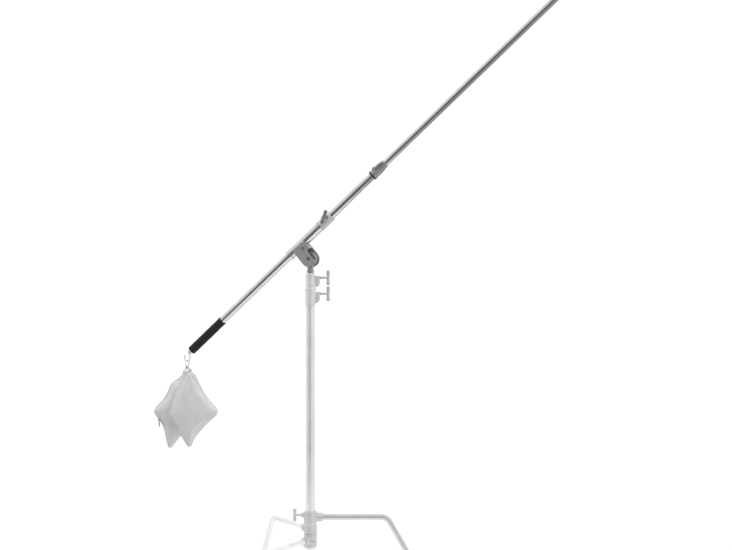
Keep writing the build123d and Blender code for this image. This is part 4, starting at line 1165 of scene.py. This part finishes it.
# ---------------------------------------------------------------- add-on classes
class CStandColours(bpy.types.PropertyGroup):
    boom_chrome: FloatVectorProperty(
        name="Boom chrome", description="Reflection colour of the boom's polished tubes",
        subtype="COLOR", default=(0.68, 0.68, 0.685), min=0, max=1)
    stand_chrome: FloatVectorProperty(
        name="Stand chrome", description="Reflection colour of the column, risers and legs",
        subtype="COLOR", default=(0.94, 0.94, 0.945), min=0, max=1)
    stand_casting: FloatVectorProperty(
        name="Stand castings", description="Colour of the hub and the two collars",
        subtype="COLOR", default=(0.66, 0.66, 0.665), min=0, max=1)
    stand_handles: FloatVectorProperty(
        name="Stand handles", description="Colour of the T handles on the stand",
        subtype="COLOR", default=(0.68, 0.68, 0.685), min=0, max=1)
    head_casting: FloatVectorProperty(
        name="Head castings", description="Colour of the tilting head and the boom's clamps",
        subtype="COLOR", default=(0.46, 0.45, 0.445), min=0, max=1)
    dark_handles: FloatVectorProperty(
        name="Dark handles", description="Colour of the handles and levers on the head and boom",
        subtype="COLOR", default=(0.26, 0.255, 0.25), min=0, max=1)
    foam: FloatVectorProperty(
        name="Foam", description="Colour of the foam grip",
        subtype="COLOR", default=(0.013, 0.0125, 0.012), min=0, max=1)
    bag: FloatVectorProperty(
        name="Bag cloth", description="Colour of the sandbag's woven cloth",
        subtype="COLOR", default=(0.72, 0.72, 0.72), min=0, max=1)
    webbing: FloatVectorProperty(
        name="Webbing", description="Colour of the sandbag's straps and seam tape",
        subtype="COLOR", default=(0.7, 0.7, 0.7), min=0, max=1)


class CStandSizes(bpy.types.PropertyGroup):
    facets: IntProperty(
        name="Tube facets", description="Faces round a tube", default=96, min=24, max=256)
    tube_lip: FloatProperty(
        name="Tube lip", description="Radius of a tube's rolled end", default=0.0008, unit="LENGTH")
    foam_dent: FloatProperty(
        name="Foam dents", description="How far use has pressed the grip in", default=0.0006, unit="LENGTH")
    cloth_cell: FloatProperty(
        name="Cloth cell", description="Size of the bag's cloth cells", default=0.005, unit="LENGTH")
    swell: FloatProperty(
        name="Largest swell", description="Furthest that the filling pushes the cloth",
        default=0.012, unit="LENGTH")
    fill_pressure: FloatProperty(
        name="Filling pressure", description="Pressure of the bag's filling in the simulation", default=4.0)
    pucker_length: FloatProperty(
        name="Pucker length", description="Distance between puckers along a seam",
        default=0.013, unit="LENGTH")
    pucker_depth: FloatProperty(
        name="Pucker depth", description="Height of the puckers at a seam", default=0.0006, unit="LENGTH")
    fold_depth: FloatProperty(
        name="Fold depth", description="Height of the folds below the strap", default=0.0035, unit="LENGTH")
    strap_width: FloatProperty(
        name="Strap width", description="Width of the bag's saddle strap", default=0.025, unit="LENGTH")
    strap_thickness: FloatProperty(
        name="Strap thickness", description="Thickness of the webbing", default=0.0018, unit="LENGTH")


class CStandStage(bpy.types.PropertyGroup):
    camera_place: FloatVectorProperty(
        name="Camera place", description="Where the camera stands", subtype="XYZ", unit="LENGTH",
        default=(0.2224, -5.8, 1.288))
    camera_lens: FloatProperty(
        name="Camera lens", description="Focal length on a sensor 36 mm wide", unit="CAMERA", default=71.3)
    floor_radius: FloatProperty(
        name="Floor radius", description="Radius of the round floor", unit="LENGTH", default=1.3)
    side_light: FloatProperty(
        name="Surround light", description="Strength of the light from the sides and above", default=0.95)
    low_light: FloatProperty(
        name="Low light", description="Strength of the light from below the horizon", default=0.4)
    flag_level: FloatProperty(
        name="Dark flag", description="Share of light left in the dark zone behind the camera", default=0.3)
    soft_box_power: FloatProperty(
        name="Soft box power", description="Power of the soft box above the stand",
        unit="POWER", default=60.0)


class CSTAND_OT_finishes(bpy.types.Operator):
    """Makes all materials and gives every CAD node its own"""

    bl_idname = "cstand.add_finishes"
    bl_label = "Finishes"

    def execute(self, context):
        add_finishes(context.scene.cstand_colours)
        return {"FINISHED"}


class CSTAND_OT_tubes(bpy.types.Operator):
    """Makes the column, the risers and the two boom tubes"""

    bl_idname = "cstand.add_tubes"
    bl_label = "Tubes"

    def execute(self, context):
        add_tubes(context.scene.cstand_sizes)
        return {"FINISHED"}


class CSTAND_OT_legs(bpy.types.Operator):
    """Makes the three bent legs and their rubber feet"""

    bl_idname = "cstand.add_legs"
    bl_label = "Legs and feet"

    def execute(self, context):
        for leg in LEGS:
            add_leg(leg, context.scene.cstand_sizes)
            add_foot(leg)
        return {"FINISHED"}


class CSTAND_OT_castings(bpy.types.Operator):
    """Makes the hub, the collars, the head, the clamps and the hook as rounded castings"""

    bl_idname = "cstand.add_castings"
    bl_label = "Castings"

    def execute(self, context):
        for node, (cell, rounds) in CASTINGS.items():
            cast_piece(node, cell * MM, rounds, CAST_MATERIALS.get(node))
        add_head_sleeve()
        return {"FINISHED"}


class CSTAND_OT_handles(bpy.types.Operator):
    """Makes the T handles and the levers"""

    bl_idname = "cstand.add_handles"
    bl_label = "Handles and levers"

    def execute(self, context):
        for node, (cell, rounds) in HANDLES.items():
            cast_piece(node, cell * MM, rounds)
        return {"FINISHED"}


class CSTAND_OT_fasteners(bpy.types.Operator):
    """Makes the screws, the thumb screw and the fluted ring nut"""

    bl_idname = "cstand.add_fasteners"
    bl_label = "Fasteners"

    def execute(self, context):
        add_fasteners()
        return {"FINISHED"}


class CSTAND_OT_spigots(bpy.types.Operator):
    """Makes the riser's spigot and the boom's tip stud"""

    bl_idname = "cstand.add_spigots"
    bl_label = "Spigot and stud"

    def execute(self, context):
        add_spigot_and_stud()
        return {"FINISHED"}


class CSTAND_OT_grip(bpy.types.Operator):
    """Makes the foam grip"""

    bl_idname = "cstand.add_grip"
    bl_label = "Foam grip"

    def execute(self, context):
        add_grip(context.scene.cstand_sizes)
        return {"FINISHED"}


class CSTAND_OT_ring(bpy.types.Operator):
    """Makes the welded ring that holds the sandbag"""

    bl_idname = "cstand.add_ring"
    bl_label = "Ring"

    def execute(self, context):
        add_ring()
        return {"FINISHED"}


class CSTAND_OT_sandbag(bpy.types.Operator):
    """Makes the sandbag's two filled pouches, its seams, straps and pull tab"""

    bl_idname = "cstand.add_sandbag"
    bl_label = "Sandbag"

    def execute(self, context):
        sizes = context.scene.cstand_sizes
        add_pouch("front", FRONT_OUTLINE, sizes)
        add_pouch("rear", REAR_OUTLINE, sizes)
        add_strap(sizes)
        add_pull_tab()
        return {"FINISHED"}


class CSTAND_OT_stage(bpy.types.Operator):
    """Makes the floor, the light and the camera"""

    bl_idname = "cstand.add_stage"
    bl_label = "Stage"

    def execute(self, context):
        add_stage(context.scene.cstand_stage)
        return {"FINISHED"}


OPERATORS = (
    CSTAND_OT_finishes,
    CSTAND_OT_stage,
    CSTAND_OT_tubes,
    CSTAND_OT_legs,
    CSTAND_OT_castings,
    CSTAND_OT_handles,
    CSTAND_OT_fasteners,
    CSTAND_OT_spigots,
    CSTAND_OT_grip,
    CSTAND_OT_ring,
    CSTAND_OT_sandbag,
)


class CSTAND_PT_panel(bpy.types.Panel):
    """Lists the sizes, the colours and the operators in the 3D view's sidebar"""

    bl_idname = "CSTAND_PT_panel"
    bl_label = "C-stand"
    bl_space_type = "VIEW_3D"
    bl_region_type = "UI"
    bl_category = "C-stand"

    def draw(self, context):
        for group in (context.scene.cstand_colours, context.scene.cstand_sizes, context.scene.cstand_stage):
            box = self.layout.box()
            for name in group.bl_rna.properties.keys():
                if name not in ("rna_type", "name"):
                    box.prop(group, name)
        for operator in OPERATORS:
            self.layout.operator(operator.bl_idname)


GROUPS = {"cstand_colours": CStandColours, "cstand_sizes": CStandSizes, "cstand_stage": CStandStage}


def register():
    for cls in (*GROUPS.values(), *OPERATORS, CSTAND_PT_panel):
        bpy.utils.register_class(cls)
    for name, group in GROUPS.items():
        setattr(bpy.types.Scene, name, PointerProperty(type=group))


def unregister():
    for name in GROUPS:
        delattr(bpy.types.Scene, name)
    for cls in reversed((*GROUPS.values(), *OPERATORS, CSTAND_PT_panel)):
        bpy.utils.unregister_class(cls)


def main():
    register()
    for operator in OPERATORS:
        group, name = operator.bl_idname.split(".")
        getattr(getattr(bpy.ops, group), name)()


if __name__ == "__main__":
    main()
